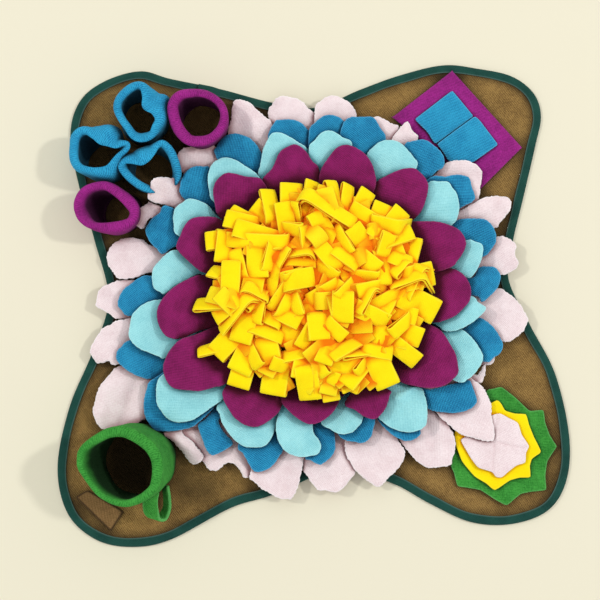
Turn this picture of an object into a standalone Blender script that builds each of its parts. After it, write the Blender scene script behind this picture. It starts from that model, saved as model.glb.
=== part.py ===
"""Snuffle mat: a four-lobed padded mat with a bound edge, a layered fleece flower sewn on its middle,
and soft toys in its corners (five soft cups, a mug with a loop handle, a flap pocket and a layered star).

Metres, +Z up. The origin is the middle of the flat underside, +X is the mat's longer way across.
Tables and sizes are written in millimetres and become metres when a mesh is made.
"""

import math

import bmesh
import bpy
import numpy as np

MM = 0.001
COLLECTION = "snuffle_mat"
HELPERS = "snuffle_mat_helpers"

# ---- driving sizes, mm ------------------------------------------------------------------------------
GAP = 0.3                 # air between two pieces that touch
DRAPE_GAP = 0.5           # air under a piece that is draped over another
FLEECE = 2.0              # thickness of one layer of fleece

BASE_TOP = 3.2            # thickness of the padded base
EDGE_LOW = 1.2            # the base is pressed thinner where the binding grips it
EDGE_HIGH = 2.6
BINDING_WIDTH = 10.0
BINDING_TOP = 4.6
OUTLINE_SEGMENTS = 72

FLOWER_X, FLOWER_Y = 4.0, 8.0

CUP_WALL = 3.0
CUP_RIM = 7.0             # the rolled rim is thicker than the wall
CUP_SEGMENTS = 18

HEIGHT_CELL = 2.5         # grid on which the pieces already laid are kept as a height map
HEIGHT_HALF = 300.0

# Points on the mat's outer edge, anticlockwise from the notch at +X. Columns: x, y.
MAT_OUTLINE = [
    (221, 25), (227, 68), (239, 115), (255, 179), (262, 213), (254, 240), (229, 260), (190, 269), (150, 273),
    (100, 261), (54, 244), (3, 223), (-47, 229), (-107, 245), (-164, 257), (-199, 266), (-240, 254), (-268, 230),
    (-278, 190), (-267, 132), (-248, 69), (-231, 1), (-249, -61), (-272, -119), (-284, -185), (-272, -236),
    (-240, -265), (-200, -273), (-157, -265), (-92, -231), (-47, -217), (30, -188), (88, -204), (129, -226),
    (174, -246), (220, -248), (260, -233), (281, -200), (285, -150), (271, -82), (244, -27)]

# ---- the flower's petals ----------------------------------------------------------------------------
# A row is one petal, laid in this order. Columns: aim (degrees from +X), reach (flower's middle to tip),
# width, lean (how far the tip swings anticlockwise), roundness (2 is an ellipse, less is pointed, more is
# squarer) and lift (how much higher than its neighbours the tip lies).
PINK_PETALS = [
    (98, 226, 58, 6, 2.6, 0), (68, 212, 50, 0, 2.0, 0), (37, 232, 62, 0, 2.6, 0), (11, 230, 50, 0, 3.0, 0),
    (338, 210, 36, 0, 2.0, 0), (307, 241, 60, 0, 2.3, 0), (274, 222, 62, 0, 2.4, 0), (242, 222, 60, -6, 3.0, 0),
    (207, 280, 62, 4, 2.8, 0), (183, 247, 52, 0, 2.4, 0), (156, 206, 36, 0, 2.5, 0), (132, 208, 46, 8, 2.0, 0),
    (84, 225, 56, 0, 2.0, 0), (60, 220, 40, 0, 1.3, 0), (25, 242, 44, 0, 1.8, 0), (353, 237, 62, -5, 2.2, 0),
    (331, 208, 36, 0, 2.0, 0), (290, 225, 66, -5, 1.5, 0), (257, 231, 60, 6, 2.0, 0), (228, 232, 34, 0, 3.5, 0),
    (195, 261, 54, 0, 2.4, 0), (169, 239, 52, 0, 2.8, 0), (147, 212, 42, 0, 2.8, 33), (111, 237, 42, 3, 2.2, 0),
    (324, 252, 62, -10, 2.0, 0)]
BLUE_PETALS = [
    (100, 199, 58, 0, 2.6, 0), (52, 210, 54, 0, 2.4, 0), (19, 209, 56, 0, 2.4, 0), (343, 214, 56, 0, 2.4, 0),
    (303, 195, 50, 0, 1.6, 0), (271, 190, 48, 0, 1.7, 0), (235, 214, 44, 0, 2.4, 0), (199, 234, 60, 0, 1.8, 0),
    (160, 203, 54, -8, 1.5, 0), (119, 202, 52, 0, 2.4, 0), (84, 200, 54, 0, 2.3, 0), (38, 214, 54, -6, 3.0, 0),
    (3, 205, 50, 0, 2.6, 0), (321, 214, 60, 4, 2.8, 0), (286, 174, 50, 0, 2.0, 0), (250, 209, 54, 0, 2.0, 0),
    (218, 232, 66, 0, 2.4, 0), (183, 221, 56, 0, 2.2, 0), (137, 198, 54, 0, 2.6, 0), (73, 207, 54, 5, 2.6, 0)]
AQUA_PETALS = [
    (104, 184, 60, 0, 2.0, 0), (60, 191, 58, 0, 2.3, 0), (13, 190, 56, 0, 2.2, 0), (336, 197, 58, 0, 2.0, 0),
    (281, 162, 54, 0, 2.2, 0), (241, 189, 64, 8, 2.4, 0), (194, 213, 64, 0, 2.6, 0), (150, 182, 56, 0, 2.4, 0),
    (85, 181, 56, 0, 2.0, 0), (36, 191, 58, 0, 2.4, 0), (351, 187, 54, 0, 1.6, 0), (306, 190, 60, 0, 2.8, 0),
    (262, 183, 58, 0, 2.6, 0), (219, 216, 64, 0, 2.4, 0), (173, 183, 56, 0, 2.2, 0), (128, 185, 58, 0, 2.2, 0)]
PURPLE_PETALS = [
    (103, 165, 62, -8, 1.8, 0), (49, 174, 62, -5, 2.2, 0), (358, 169, 62, 0, 2.3, 0), (295, 154, 54, 2, 1.8, 0),
    (239, 167, 62, 4, 2.3, 0), (188, 178, 62, 10, 2.2, 0), (130, 166, 62, 2, 2.6, 0), (75, 166, 62, 2, 2.2, 0),
    (22, 172, 64, -5, 2.3, 0), (327, 178, 68, 0, 2.2, 0), (267, 149, 62, 2, 2.0, 0), (212, 192, 64, -3, 2.2, 0),
    (157, 163, 60, 2, 2.4, 0)]

# One ring of petals. Columns: name, petals, radius of the sewn roots, height of the tips, whether the
# petals are joined to one root band, colour.
RINGS = [
    ("pink_petal", PINK_PETALS, 150.0, 15.0, False, (0.87, 0.76, 0.79)),
    ("blue_petals", BLUE_PETALS, 125.0, 23.0, True, (0.02, 0.23, 0.42)),
    ("aqua_petals", AQUA_PETALS, 105.0, 30.0, True, (0.34, 0.73, 0.76)),
    ("purple_petal", PURPLE_PETALS, 85.0, 37.0, False, (0.22, 0.02, 0.11))]
PETAL_ROWS = (0.0, 0.32, 0.64, 0.88, 1.0)     # where the cross rows lie along a petal
PETAL_ROOT_WIDTH = 0.42                       # root width as a share of the full width
PETAL_WIDEST = 0.62                           # share of the length where a petal is widest
PETAL_TIP_CUT = 0.30                          # share of the width left straight at the very tip
BAND_HALF_WIDTH = 5.0
BAND_THICK = 4.0
BAND_SEGMENTS = 32

# ---- the tuft of loops: its outer form, turned. Columns: radius, height. ----------------------------
TUFT_PROFILE = [(78, 3.5), (80, 10), (87, 20), (106, 34), (124, 44), (131, 51), (126, 59), (102, 65), (66, 68),
                (28, 69)]
TUFT_SEGMENTS = 20
TUFT_BUMP = 0.045

# ---- cups. Columns: name, foot x, foot y, foot radius, rim x, rim y, rim half-widths, turn (degrees),
# height, drop of the rim on its low side, direction of the low side, dents (direction, depth, spread) ----
CUPS = [
    ("blue_cup_top", -192, 205, 27, -193, 203, 25, 31, 0, 52, 0, 0, [(28, 15, 30)]),
    ("blue_cup_left", -234, 157, 24, -238, 158, 29, 27, 0, 50, 0, 0, [(75, 15, 34), (318, 9, 28)]),
    ("blue_cup_right", -181, 146, 24, -180, 145, 28, 26, 15, 50, 24, 318, [(128, 13, 26)]),
    ("purple_cup_top", -125, 200, 27, -126, 197, 30, 30, 0, 50, 0, 0, [(215, 4, 40)]),
    ("purple_cup_left", -215, 100, 23, -227, 98, 33, 23, 0, 48, 0, 0, [(50, 7, 24)]),
    ("green_cup", -192, -178, 40, -204, -183, 40, 37, 0, 78, 0, 0, [(300, 2, 40)])]
CUP_COLOURS = {"blue": (0.03, 0.34, 0.58), "purple": (0.27, 0.02, 0.20), "green": (0.05, 0.30, 0.05)}

# ---- mug handle: a strap bent into a loop -----------------------------------------------------------
HANDLE_TURN = -63.0       # direction in which it leaves the mug
HANDLE_TILT = 42.0        # how far the loop leans over
HANDLE_REACH = 30.0
HANDLE_HALF_GAP = 12.0    # half the clear gap between the two legs
HANDLE_MIDDLE = 27.0      # height of its middle
HANDLE_WIDTH = 16.0
HANDLE_THICK = 3.0

# ---- flat pieces sewn on the base, corner points. Columns: x, y. ------------------------------------
PATCH_CENTRE = (-236, -233)
PATCH_SIZE = (50, 20, 1.6)
PATCH_TURN = -43.0
POCKET_CORNERS = [(161, 265), (90, 211), (165, 121), (238, 176)]
FLAP_UPPER_CORNERS = [(159, 242), (116, 208), (137, 179), (184, 213)]
FLAP_LOWER_CORNERS = [(185, 212), (138, 177.5), (152, 159), (181, 157), (211, 179)]

# ---- the star: three layers. Columns: name, rise of its underside above the base, points at (direction, radius)
STAR_CENTRE = (200, -158)
STAR_LAYERS = [
    ("star_green", 0.0, [(11, 60), (33, 64), (51, 52), (65, 58), (95, 58), (130, 54), (165, 52), (207, 55),
                         (230, 62), (255, 56), (281, 69), (298, 63), (317, 74), (342, 62), (357, 69)]),
    ("star_yellow", 2.6, [(7, 44), (22, 42), (41, 48), (69, 38), (87, 46), (110, 42), (140, 44), (167, 44),
                          (205, 41), (237, 44), (270, 52), (293, 43), (316, 54), (331, 45), (348, 51)]),
    ("star_pink", 5.2, [(18, 30), (40, 33), (60, 30), (80, 34), (110, 31), (145, 33), (176, 37), (205, 33),
                        (235, 35), (255, 36), (275, 39), (300, 37), (326, 41), (340, 36), (353, 37)])]
STAR_COLOURS = {"star_green": (0.05, 0.28, 0.04), "star_yellow": (1.0, 0.80, 0.01), "star_pink": (0.87, 0.70, 0.72)}

BROWN = (0.19, 0.12, 0.05)
DARK_GREEN = (0.015, 0.08, 0.06)
YELLOW = (1.0, 0.72, 0.005)


# ---- scene and materials ----------------------------------------------------------------------------
def clear_scene():
    for thing in list(bpy.data.objects):
        bpy.data.objects.remove(thing, do_unlink=True)


def make_collection(name):
    made = bpy.data.collections.new(name)
    bpy.context.scene.collection.children.link(made)
    return made


def fleece_material(name, colour, roughness=0.95):
    material = bpy.data.materials.new(name)
    material.use_nodes = True
    shader = material.node_tree.nodes["Principled BSDF"]
    shader.inputs["Base Color"].default_value = (*colour, 1.0)
    shader.inputs["Roughness"].default_value = roughness
    shader.inputs["Metallic"].default_value = 0.0
    return material


def add_object(name, bm, collection, colour):
    """Writes the bmesh, in millimetres, to a new object in metres."""
    bmesh.ops.scale(bm, vec=(MM, MM, MM), verts=bm.verts)
    mesh = bpy.data.meshes.new(name)
    bm.to_mesh(mesh)
    bm.free()
    made = bpy.data.objects.new(name, mesh)
    collection.objects.link(made)
    made.data.materials.append(fleece_material(name + "_fleece", colour))
    return made


def thicken(thing, thickness):
    solid = thing.modifiers.new("cloth", "SOLIDIFY")
    solid.thickness = thickness * MM
    solid.offset = 0.0


# ---- plane geometry ---------------------------------------------------------------------------------
def closed_curve(points, count):
    """A smooth closed curve through the points, as count evenly spaced points."""
    anchors = np.array(points, float)
    fine = []
    for k in range(len(anchors)):
        p0, p1, p2, p3 = (anchors[(k + i) % len(anchors)] for i in (-1, 0, 1, 2))
        for t in np.linspace(0.0, 1.0, 12, endpoint=False):
            fine.append(0.5 * (2 * p1 + (p2 - p0) * t + (2 * p0 - 5 * p1 + 4 * p2 - p3) * t ** 2
                               + (3 * p1 - p0 - 3 * p2 + p3) * t ** 3))
    fine = np.array(fine + [fine[0]])
    walked = np.concatenate([[0.0], np.cumsum(np.hypot(*np.diff(fine, axis=0).T))])
    stations = np.linspace(0.0, walked[-1], count, endpoint=False)
    return np.stack([np.interp(stations, walked, fine[:, axis]) for axis in (0, 1)], axis=1)


def outward_normals(loop):
    ahead = np.roll(loop, -1, axis=0) - np.roll(loop, 1, axis=0)
    ahead /= np.hypot(*ahead.T)[:, None]
    return np.stack([ahead[:, 1], -ahead[:, 0]], axis=1)


def inset(loop, distance):
    return loop - outward_normals(loop) * distance


def at_height(loop, z):
    heights = np.broadcast_to(z, (len(loop),))
    return np.column_stack([loop, heights])


def loft(loops, ring):
    """Skins loops of equal length. A ring joins the last loop to the first, otherwise both ends are capped."""
    bm = bmesh.new()
    rows = [[bm.verts.new(point) for point in loop] for loop in loops]
    count = len(rows[0])
    pairs = list(zip(rows, rows[1:] + rows[:1])) if ring else list(zip(rows, rows[1:]))
    for low, high in pairs:
        for k in range(count):
            following = (k + 1) % count
            bm.faces.new((low[k], low[following], high[following], high[k]))
    if not ring:
        bm.faces.new(list(reversed(rows[0])))
        bm.faces.new(rows[-1])
    return bm


# ---- height map of what is already laid -------------------------------------------------------------
class HeightMap:
    """Keeps the highest cloth at each place, so that the next piece is laid on top of it."""

    def __init__(self):
        self.cells = int(2 * HEIGHT_HALF / HEIGHT_CELL)
        self.top = np.full((self.cells, self.cells), -10.0)

    def covered(self, triangle):
        """Cells whose middle lies under the triangle, and the weights of its corners there."""
        flat = (triangle[:, :2] + HEIGHT_HALF) / HEIGHT_CELL - 0.5
        low = np.maximum(np.floor(flat.min(axis=0)).astype(int), 0)
        high = np.minimum(np.ceil(flat.max(axis=0)).astype(int) + 1, self.cells)
        columns, rows = np.meshgrid(np.arange(low[0], high[0]), np.arange(low[1], high[1]), indexing="ij")
        edge_a, edge_b = flat[1] - flat[0], flat[2] - flat[0]
        area = edge_a[0] * edge_b[1] - edge_a[1] * edge_b[0]
        if abs(area) < 1e-6:
            return columns[:0].ravel(), rows[:0].ravel(), np.zeros((0, 3))
        dx, dy = columns - flat[0][0], rows - flat[0][1]
        second = (dx * edge_b[1] - dy * edge_b[0]) / area
        third = (dy * edge_a[0] - dx * edge_a[1]) / area
        weights = np.stack([1 - second - third, second, third], axis=-1)
        margin = 0.7 / max(np.hypot(*edge_a), np.hypot(*edge_b))
        inside = weights.min(axis=-1) > -margin
        return columns[inside], rows[inside], weights[inside]

    def stamp(self, points, triangles, replace=False):
        for corners in triangles:
            triangle = points[list(corners)]
            columns, rows, weights = self.covered(triangle)
            heights = weights @ triangle[:, 2]
            if not replace:
                heights = np.maximum(heights, self.top[columns, rows])
            self.top[columns, rows] = heights

    def stamp_star(self, loop, z, replace=False):
        """Stamps a flat outline that can be seen whole from its middle."""
        middle = loop.mean(axis=0)
        points = at_height(np.vstack([loop, middle]), z)
        count = len(loop)
        self.stamp(points, [(k, (k + 1) % count, count) for k in range(count)], replace)

    def spread(self):
        """The height map with each cell raised to its highest neighbour."""
        padded = np.pad(self.top, 1, mode="edge")
        size = self.cells
        return np.max([padded[i:i + size, j:j + size] for i in range(3) for j in range(3)], axis=0)

    def lay(self, points, triangles, thickness, sewn=0, passes=60):
        """Lifts a sheet's points just enough to clear what lies below, then adds the sheet to the map.

        The first sewn points are its sewn edge, which rises only where another edge is sewn under it.
        """
        below = self.spread()
        half = 0.5 * thickness
        for _ in range(passes):
            lift = np.zeros(len(points))
            for corners in triangles:
                triangle = points[list(corners)]
                columns, rows, weights = self.covered(triangle)
                short = below[columns, rows] + half + DRAPE_GAP - weights @ triangle[:, 2]
                short = np.maximum(short, 0.0)
                if not len(short) or short.max() <= 0.0:
                    continue
                share = np.clip(weights / (weights ** 2).sum(axis=1)[:, None], 0.0, 1.0)
                share[:, np.array(corners) < sewn] *= weights[:, np.array(corners) < sewn] > 0.8
                for corner, needed in zip(corners, (share * short[:, None]).max(axis=0)):
                    lift[corner] = max(lift[corner], needed)
            if lift.max() < 0.02:
                break
            points[:, 2] += lift
        raised = points.copy()
        raised[:, 2] += half + 0.1
        self.stamp(raised, triangles)
        return points


# ---- sheets -----------------------------------------------------------------------------------------
def grid_sheet(columns, rows):
    """A flat grid of the given numbers of points, with its points in reading order."""
    bm = bmesh.new()
    bmesh.ops.create_grid(bm, x_segments=columns - 1, y_segments=rows - 1, size=1.0)
    bm.verts.ensure_lookup_table()
    order = sorted(bm.verts, key=lambda vert: (round(vert.co.y, 5), round(vert.co.x, 5)))
    return bm, order


def grid_triangles(columns, rows):
    made = []
    for j in range(rows - 1):
        for i in range(columns - 1):
            a = j * columns + i
            made += [(a, a + 1, a + columns + 1), (a, a + columns + 1, a + columns)]
    return made


def petal_half_width(share, width, roundness):
    """Half the petal's width at a share of its length."""
    if share <= PETAL_WIDEST:
        swell = math.sin(0.5 * math.pi * share / PETAL_WIDEST)
        return 0.5 * width * (PETAL_ROOT_WIDTH + (1 - PETAL_ROOT_WIDTH) * swell)
    past = (share - PETAL_WIDEST) / (1 - PETAL_WIDEST)
    narrowing = max(1 - past ** roundness, 0.0) ** (1 / roundness)
    return 0.5 * width * max(narrowing, PETAL_TIP_CUT)


def petal_points(row, root, tip_height, across=(-1.0, 0.0, 1.0)):
    """Points of a petal before it is laid: rows from root to tip, each from its clockwise side."""
    aim, reach, width, lean, roundness, lift = row
    along = np.array([math.cos(math.radians(aim)), math.sin(math.radians(aim))])
    aside = np.array([-along[1], along[0]])
    start = BASE_TOP + GAP + 0.5 * FLEECE
    points = []
    for share in PETAL_ROWS:
        middle = np.array([FLOWER_X, FLOWER_Y]) + along * (root + share * (reach - root)) + aside * lean * share ** 2
        half = petal_half_width(share, width, roundness)
        height = start + (tip_height - start) * (1 - (1 - share) ** 2.2) + lift * share ** 4
        for side in across:
            droop = 0.0 if share == 0.0 else 1.2 * abs(side)
            points.append((*(middle + aside * half * side), height - droop))
    return np.array(points)


def make_petal(name, row, root, tip_height, laid, collection, colour):
    points = petal_points(row, root, tip_height)
    rows, columns = len(PETAL_ROWS), 3
    points = laid.lay(points, grid_triangles(columns, rows), FLEECE, sewn=columns)
    bm, order = grid_sheet(columns, rows)
    for vert, point in zip(order, points):
        vert.co = point
    bmesh.ops.recalc_face_normals(bm, faces=bm.faces)
    petal = add_object(name, bm, collection, colour)
    thicken(petal, FLEECE)
    return petal


def band_loops(root):
    """Section of the band that joins the roots of one ring of petals."""
    low = BASE_TOP + GAP
    corners = [(root - BAND_HALF_WIDTH, low), (root + BAND_HALF_WIDTH, low),
               (root + BAND_HALF_WIDTH, low + BAND_THICK), (root - BAND_HALF_WIDTH, low + BAND_THICK)]
    turn = np.linspace(0.0, 2 * math.pi, BAND_SEGMENTS, endpoint=False)
    loops = []
    for radius, z in corners:
        loops.append([(FLOWER_X + radius * math.cos(a), FLOWER_Y + radius * math.sin(a), z) for a in turn])
    return loops


def make_ring(name, petals, root, tip_height, joined, colour, laid, parts, helpers):
    if not joined:
        for number, row in enumerate(petals, start=1):
            make_petal(f"{name}_{number:02d}", row, root, tip_height, laid, parts, colour)
        return
    tools = bpy.data.collections.new(name + "_pieces")
    helpers.children.link(tools)
    for number, row in enumerate(petals, start=1):
        piece = make_petal(f"{name}_piece_{number:02d}", row, root, tip_height, laid, tools, colour)
        piece.hide_render = True
        piece.display_type = "WIRE"
    bm = loft(band_loops(root), ring=True)
    ring = add_object(name, bm, parts, colour)
    join = ring.modifiers.new("petals", "BOOLEAN")
    join.operation = "UNION"
    join.operand_type = "COLLECTION"
    join.collection = tools
    join.solver = "EXACT"


# ---- base, binding and patch ------------------------------------------------------------------------
def make_base(outline, parts):
    outer = inset(outline, 2.0)
    step = inset(outline, BINDING_WIDTH + GAP)
    loops = [at_height(step, 0.0), at_height(step, EDGE_LOW), at_height(outer, EDGE_LOW),
             at_height(outer, EDGE_HIGH), at_height(step, EDGE_HIGH), at_height(step, BASE_TOP)]
    add_object("base_mat", loft(loops, ring=False), parts, BROWN)


def make_binding(outline, parts):
    """A strip folded round the edge of the base: a U lying on its side."""
    inside = 2.0 - GAP
    section = [(0.8, 0.0), (0.0, 1.4), (0.4, BINDING_TOP - 0.6), (1.6, BINDING_TOP), (BINDING_WIDTH - 0.8, BINDING_TOP),
               (BINDING_WIDTH, EDGE_HIGH + GAP), (inside, EDGE_HIGH + GAP), (inside, EDGE_LOW - GAP),
               (BINDING_WIDTH, EDGE_LOW - GAP), (BINDING_WIDTH, 0.0)]
    loops = [at_height(inset(outline, depth), z) for depth, z in section]
    add_object("binding", loft(loops, ring=True), parts, DARK_GREEN)


def make_patch(parts):
    length, width, thickness = PATCH_SIZE
    bm = bmesh.new()
    bmesh.ops.create_cube(bm, size=1.0)
    bmesh.ops.scale(bm, vec=(length, width, thickness), verts=bm.verts)
    patch = add_object("base_patch", bm, parts, BROWN)
    patch.location = (PATCH_CENTRE[0] * MM, PATCH_CENTRE[1] * MM, (BASE_TOP + GAP + 0.5 * thickness) * MM)
    patch.rotation_euler = (0.0, 0.0, math.radians(PATCH_TURN))


# ---- cups and mug -----------------------------------------------------------------------------------
def cup_loop(cup, share, offset):
    """The cup's outline at a share of its height, moved outward by offset."""
    (_, foot_x, foot_y, foot_r, rim_x, rim_y, half_x, half_y, turn, height, drop, low_side, dents) = cup
    angles = np.linspace(0.0, 2 * math.pi, CUP_SEGMENTS, endpoint=False)
    spin = math.radians(turn)
    local = angles - spin
    rim_radius = half_x * half_y / np.hypot(half_y * np.cos(local), half_x * np.sin(local))
    radius = foot_r + (rim_radius - foot_r) * share
    for direction, depth, spread in dents:
        away = (angles - math.radians(direction) + math.pi) % (2 * math.pi) - math.pi
        radius = radius - depth * share ** 1.5 * np.exp(-(np.degrees(away) / spread) ** 2)
    centre = np.array([foot_x + (rim_x - foot_x) * share, foot_y + (rim_y - foot_y) * share])
    loop = centre + np.stack([np.cos(angles), np.sin(angles)], axis=1) * radius[:, None]
    loop = loop + outward_normals(loop) * offset
    low = BASE_TOP + GAP
    top = height - drop * (0.5 + 0.5 * np.cos(angles - math.radians(low_side)))
    return at_height(loop, low + (top - low) * share)


def make_cup(cup, parts):
    wall, rim, height = 0.5 * CUP_WALL, 0.5 * CUP_RIM, cup[9]
    shoulder = 1 - 7.0 / height
    section = [(0.0, wall), (0.5, wall), (shoulder, rim), (1.0, 0.55 * rim), (1.0, -0.55 * rim), (shoulder, -rim),
               (0.5, -wall), (0.0, -wall)]
    loops = [cup_loop(cup, share, offset) for share, offset in section]
    add_object(cup[0], loft(loops, ring=True), parts, CUP_COLOURS[cup[0].split("_")[0]])


def handle_path(mug):
    """Middle line of the strap: out from the mug's wall, round, and back, in a leaning plane."""
    turn, tilt = math.radians(HANDLE_TURN), math.radians(HANDLE_TILT)
    outward = np.array([math.cos(turn), math.sin(turn), 0.0])
    aside = np.array([-outward[1], outward[0], 0.0])
    upright = math.cos(tilt) * np.array([0.0, 0.0, 1.0]) - math.sin(tilt) * aside
    across = np.cross(outward, upright)
    arm = HANDLE_HALF_GAP + 0.5 * HANDLE_THICK
    straight = HANDLE_REACH - arm
    path = [(0.0, arm), (0.5 * straight, arm)]
    path += [(straight + arm * math.sin(a), arm * math.cos(a)) for a in np.linspace(0.0, math.pi, 7)]
    path += [(0.5 * straight, -arm), (0.0, -arm)]
    foot = np.array([mug[1], mug[2], 0.0])
    share = (HANDLE_MIDDLE - BASE_TOP) / mug[9]
    lean = np.array([mug[4] - mug[1], mug[5] - mug[2], 0.0]) * share
    start = foot + lean + outward * (mug[3] + 0.5 * CUP_WALL + 0.1) + np.array([0.0, 0.0, HANDLE_MIDDLE])
    middle = [start + outward * out + upright * up for out, up in path]
    return np.array(middle), across


def make_handle(mug, parts):
    middle, across = handle_path(mug)
    ahead = np.gradient(middle, axis=0)
    ahead /= np.linalg.norm(ahead, axis=1)[:, None]
    sections = []
    for point, tangent in zip(middle, ahead):
        flat = np.cross(across, tangent)
        corners = [(-1, -1), (1, -1), (1, 1), (-1, 1)]
        sections.append([point + 0.5 * HANDLE_WIDTH * a * across + 0.5 * HANDLE_THICK * b * flat for a, b in corners])
    bm = loft(sections, ring=False)
    bmesh.ops.recalc_face_normals(bm, faces=bm.faces)
    add_object("green_handle", bm, parts, CUP_COLOURS["green"])


# ---- pocket and star --------------------------------------------------------------------------------
def make_flat_piece(name, corners, laid, parts, colour, z):
    """A cut piece with straight sides: a disc of corners round a middle point, laid flat."""
    loop = np.array(corners, float)
    bm = bmesh.new()
    bmesh.ops.create_circle(bm, cap_ends=True, cap_tris=True, segments=len(loop), radius=1.0)
    rim = sorted((v for v in bm.verts if v.co.length > 0.5), key=lambda v: math.atan2(v.co.y, v.co.x) % (2 * math.pi))
    hub = [v for v in bm.verts if v.co.length <= 0.5][0]
    turned = np.arctan2(*(loop - loop.mean(axis=0)).T[::-1]) % (2 * math.pi)
    loop = loop[np.argsort(turned)]
    points = at_height(np.vstack([loop, loop.mean(axis=0)]), z)
    count = len(loop)
    laid.lay(points, [(k, (k + 1) % count, count) for k in range(count)], FLEECE)
    for vert, point in zip(rim + [hub], points):
        vert.co = point
    bmesh.ops.recalc_face_normals(bm, faces=bm.faces)
    piece = add_object(name, bm, parts, colour)
    thicken(piece, FLEECE)


def make_star_layer(name, rise, points, laid, parts):
    colour = STAR_COLOURS[name]
    corners = [(STAR_CENTRE[0] + radius * math.cos(math.radians(direction)),
                STAR_CENTRE[1] + radius * math.sin(math.radians(direction))) for direction, radius in points]
    make_flat_piece(name, corners, laid, parts, colour, BASE_TOP + GAP + 0.5 * FLEECE + rise)


# ---- tuft -------------------------------------------------------------------------------------------
def make_tuft(parts):
    """The outer form of the loops: a mushroom whose rim leans over the inner ring of petals."""
    turn = np.linspace(0.0, 2 * math.pi, TUFT_SEGMENTS, endpoint=False)
    loops = []
    for radius, z in TUFT_PROFILE:
        bump = 1 + TUFT_BUMP * np.cos(5 * turn + 0.4) * (z > 35) * (radius > 60)
        ripple = 1.2 * np.cos(7 * turn + radius) * (z > 60)
        loop = np.stack([FLOWER_X + radius * bump * np.cos(turn), FLOWER_Y + radius * bump * np.sin(turn)], axis=1)
        loops.append(at_height(loop, z + ripple))
    add_object("loop_tuft", loft(loops, ring=False), parts, YELLOW)


def main():
    clear_scene()
    parts = make_collection(COLLECTION)
    helpers = make_collection(HELPERS)
    outline = closed_curve(MAT_OUTLINE, OUTLINE_SEGMENTS)
    make_base(outline, parts)
    make_binding(outline, parts)
    make_patch(parts)
    laid = HeightMap()
    laid.stamp_star(outline, BINDING_TOP)
    laid.stamp_star(inset(outline, BINDING_WIDTH + 3.0), BASE_TOP - DRAPE_GAP + GAP, replace=True)
    flat = BASE_TOP + GAP + 0.5 * FLEECE
    make_flat_piece("pocket_square", POCKET_CORNERS, laid, parts, CUP_COLOURS["purple"], flat)
    make_flat_piece("pocket_flap_upper", FLAP_UPPER_CORNERS, laid, parts, CUP_COLOURS["blue"], flat)
    make_flat_piece("pocket_flap_lower", FLAP_LOWER_CORNERS, laid, parts, CUP_COLOURS["blue"], flat)
    for name, rise, points in STAR_LAYERS:
        make_star_layer(name, rise, points, laid, parts)
    for name, petals, root, tip_height, joined, colour in RINGS:
        make_ring(name, petals, root, tip_height, joined, colour, laid, parts, helpers)
    make_tuft(parts)
    for cup in CUPS:
        make_cup(cup, parts)
    make_handle(CUPS[-1], parts)


main()
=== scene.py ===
# %% [markdown]
# # A snuffle mat in fleece
#
# A snuffle mat is a padded cloth with fleece sewn all over it, in which a dog looks for treats. This one has a
# brown base with a dark green bound edge, a flower of four rings of petals round a yellow tuft of folded
# loops, and soft toys in its four corners. Everything is cloth, so the lesson is about three things: cutting a
# flat piece to an outline, laying it over what is already there, and giving it the look of fleece.

# %% The frame
import math
from collections import namedtuple

import bmesh
import bpy
import numpy as np
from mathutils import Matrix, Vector
from mathutils.bvhtree import BVHTree
from mathutils.geometry import delaunay_2d_cdt


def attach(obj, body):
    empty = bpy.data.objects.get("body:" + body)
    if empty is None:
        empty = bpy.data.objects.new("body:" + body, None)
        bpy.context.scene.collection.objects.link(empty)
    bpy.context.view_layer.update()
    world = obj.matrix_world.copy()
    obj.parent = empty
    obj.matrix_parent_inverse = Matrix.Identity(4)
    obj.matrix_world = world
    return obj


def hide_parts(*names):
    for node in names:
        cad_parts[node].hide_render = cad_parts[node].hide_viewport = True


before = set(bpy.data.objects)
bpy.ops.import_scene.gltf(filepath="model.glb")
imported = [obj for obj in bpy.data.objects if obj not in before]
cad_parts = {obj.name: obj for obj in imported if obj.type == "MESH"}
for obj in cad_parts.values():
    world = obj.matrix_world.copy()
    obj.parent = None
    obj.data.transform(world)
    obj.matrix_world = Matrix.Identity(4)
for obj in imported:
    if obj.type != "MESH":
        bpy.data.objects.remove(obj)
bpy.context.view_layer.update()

# %% [markdown]
# ## The camera
#
# The photograph looks straight down with a slight lean. Its scale comes from the yellow strips, which are
# 20 mm wide. With the camera's place known, a point seen in the photograph can be put on the mat: the line of
# sight is followed down to the height at which that point lies. Outlines below are written as photograph
# pixels (right, down) and turned into millimetres this way, while real sizes are written in millimetres.

# %% Camera
MM = 0.001
PHOTO_PIXELS = 600
CAMERA_DISTANCE = 1250.0
CAMERA_TILT = math.radians(6.0)
CAMERA_AIM = (-14.7, 1.0)
FOCAL_PIXELS = 1106.0
SENSOR_WIDTH = 36.0


def put(name, data):
    """Adds an object with the given data to the scene."""
    thing = bpy.data.objects.new(name, data)
    bpy.context.scene.collection.objects.link(thing)
    return thing


camera_place = np.array([CAMERA_AIM[0], CAMERA_AIM[1] - CAMERA_DISTANCE * math.sin(CAMERA_TILT),
                         CAMERA_DISTANCE * math.cos(CAMERA_TILT)])
camera_data = bpy.data.cameras.new("camera")
camera_data.sensor_width = SENSOR_WIDTH
camera_data.lens = SENSOR_WIDTH * FOCAL_PIXELS / PHOTO_PIXELS
camera = put("camera", camera_data)
camera.location = camera_place * MM
camera.rotation_euler = (CAMERA_TILT, 0.0, 0.0)
bpy.context.scene.camera = camera


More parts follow.
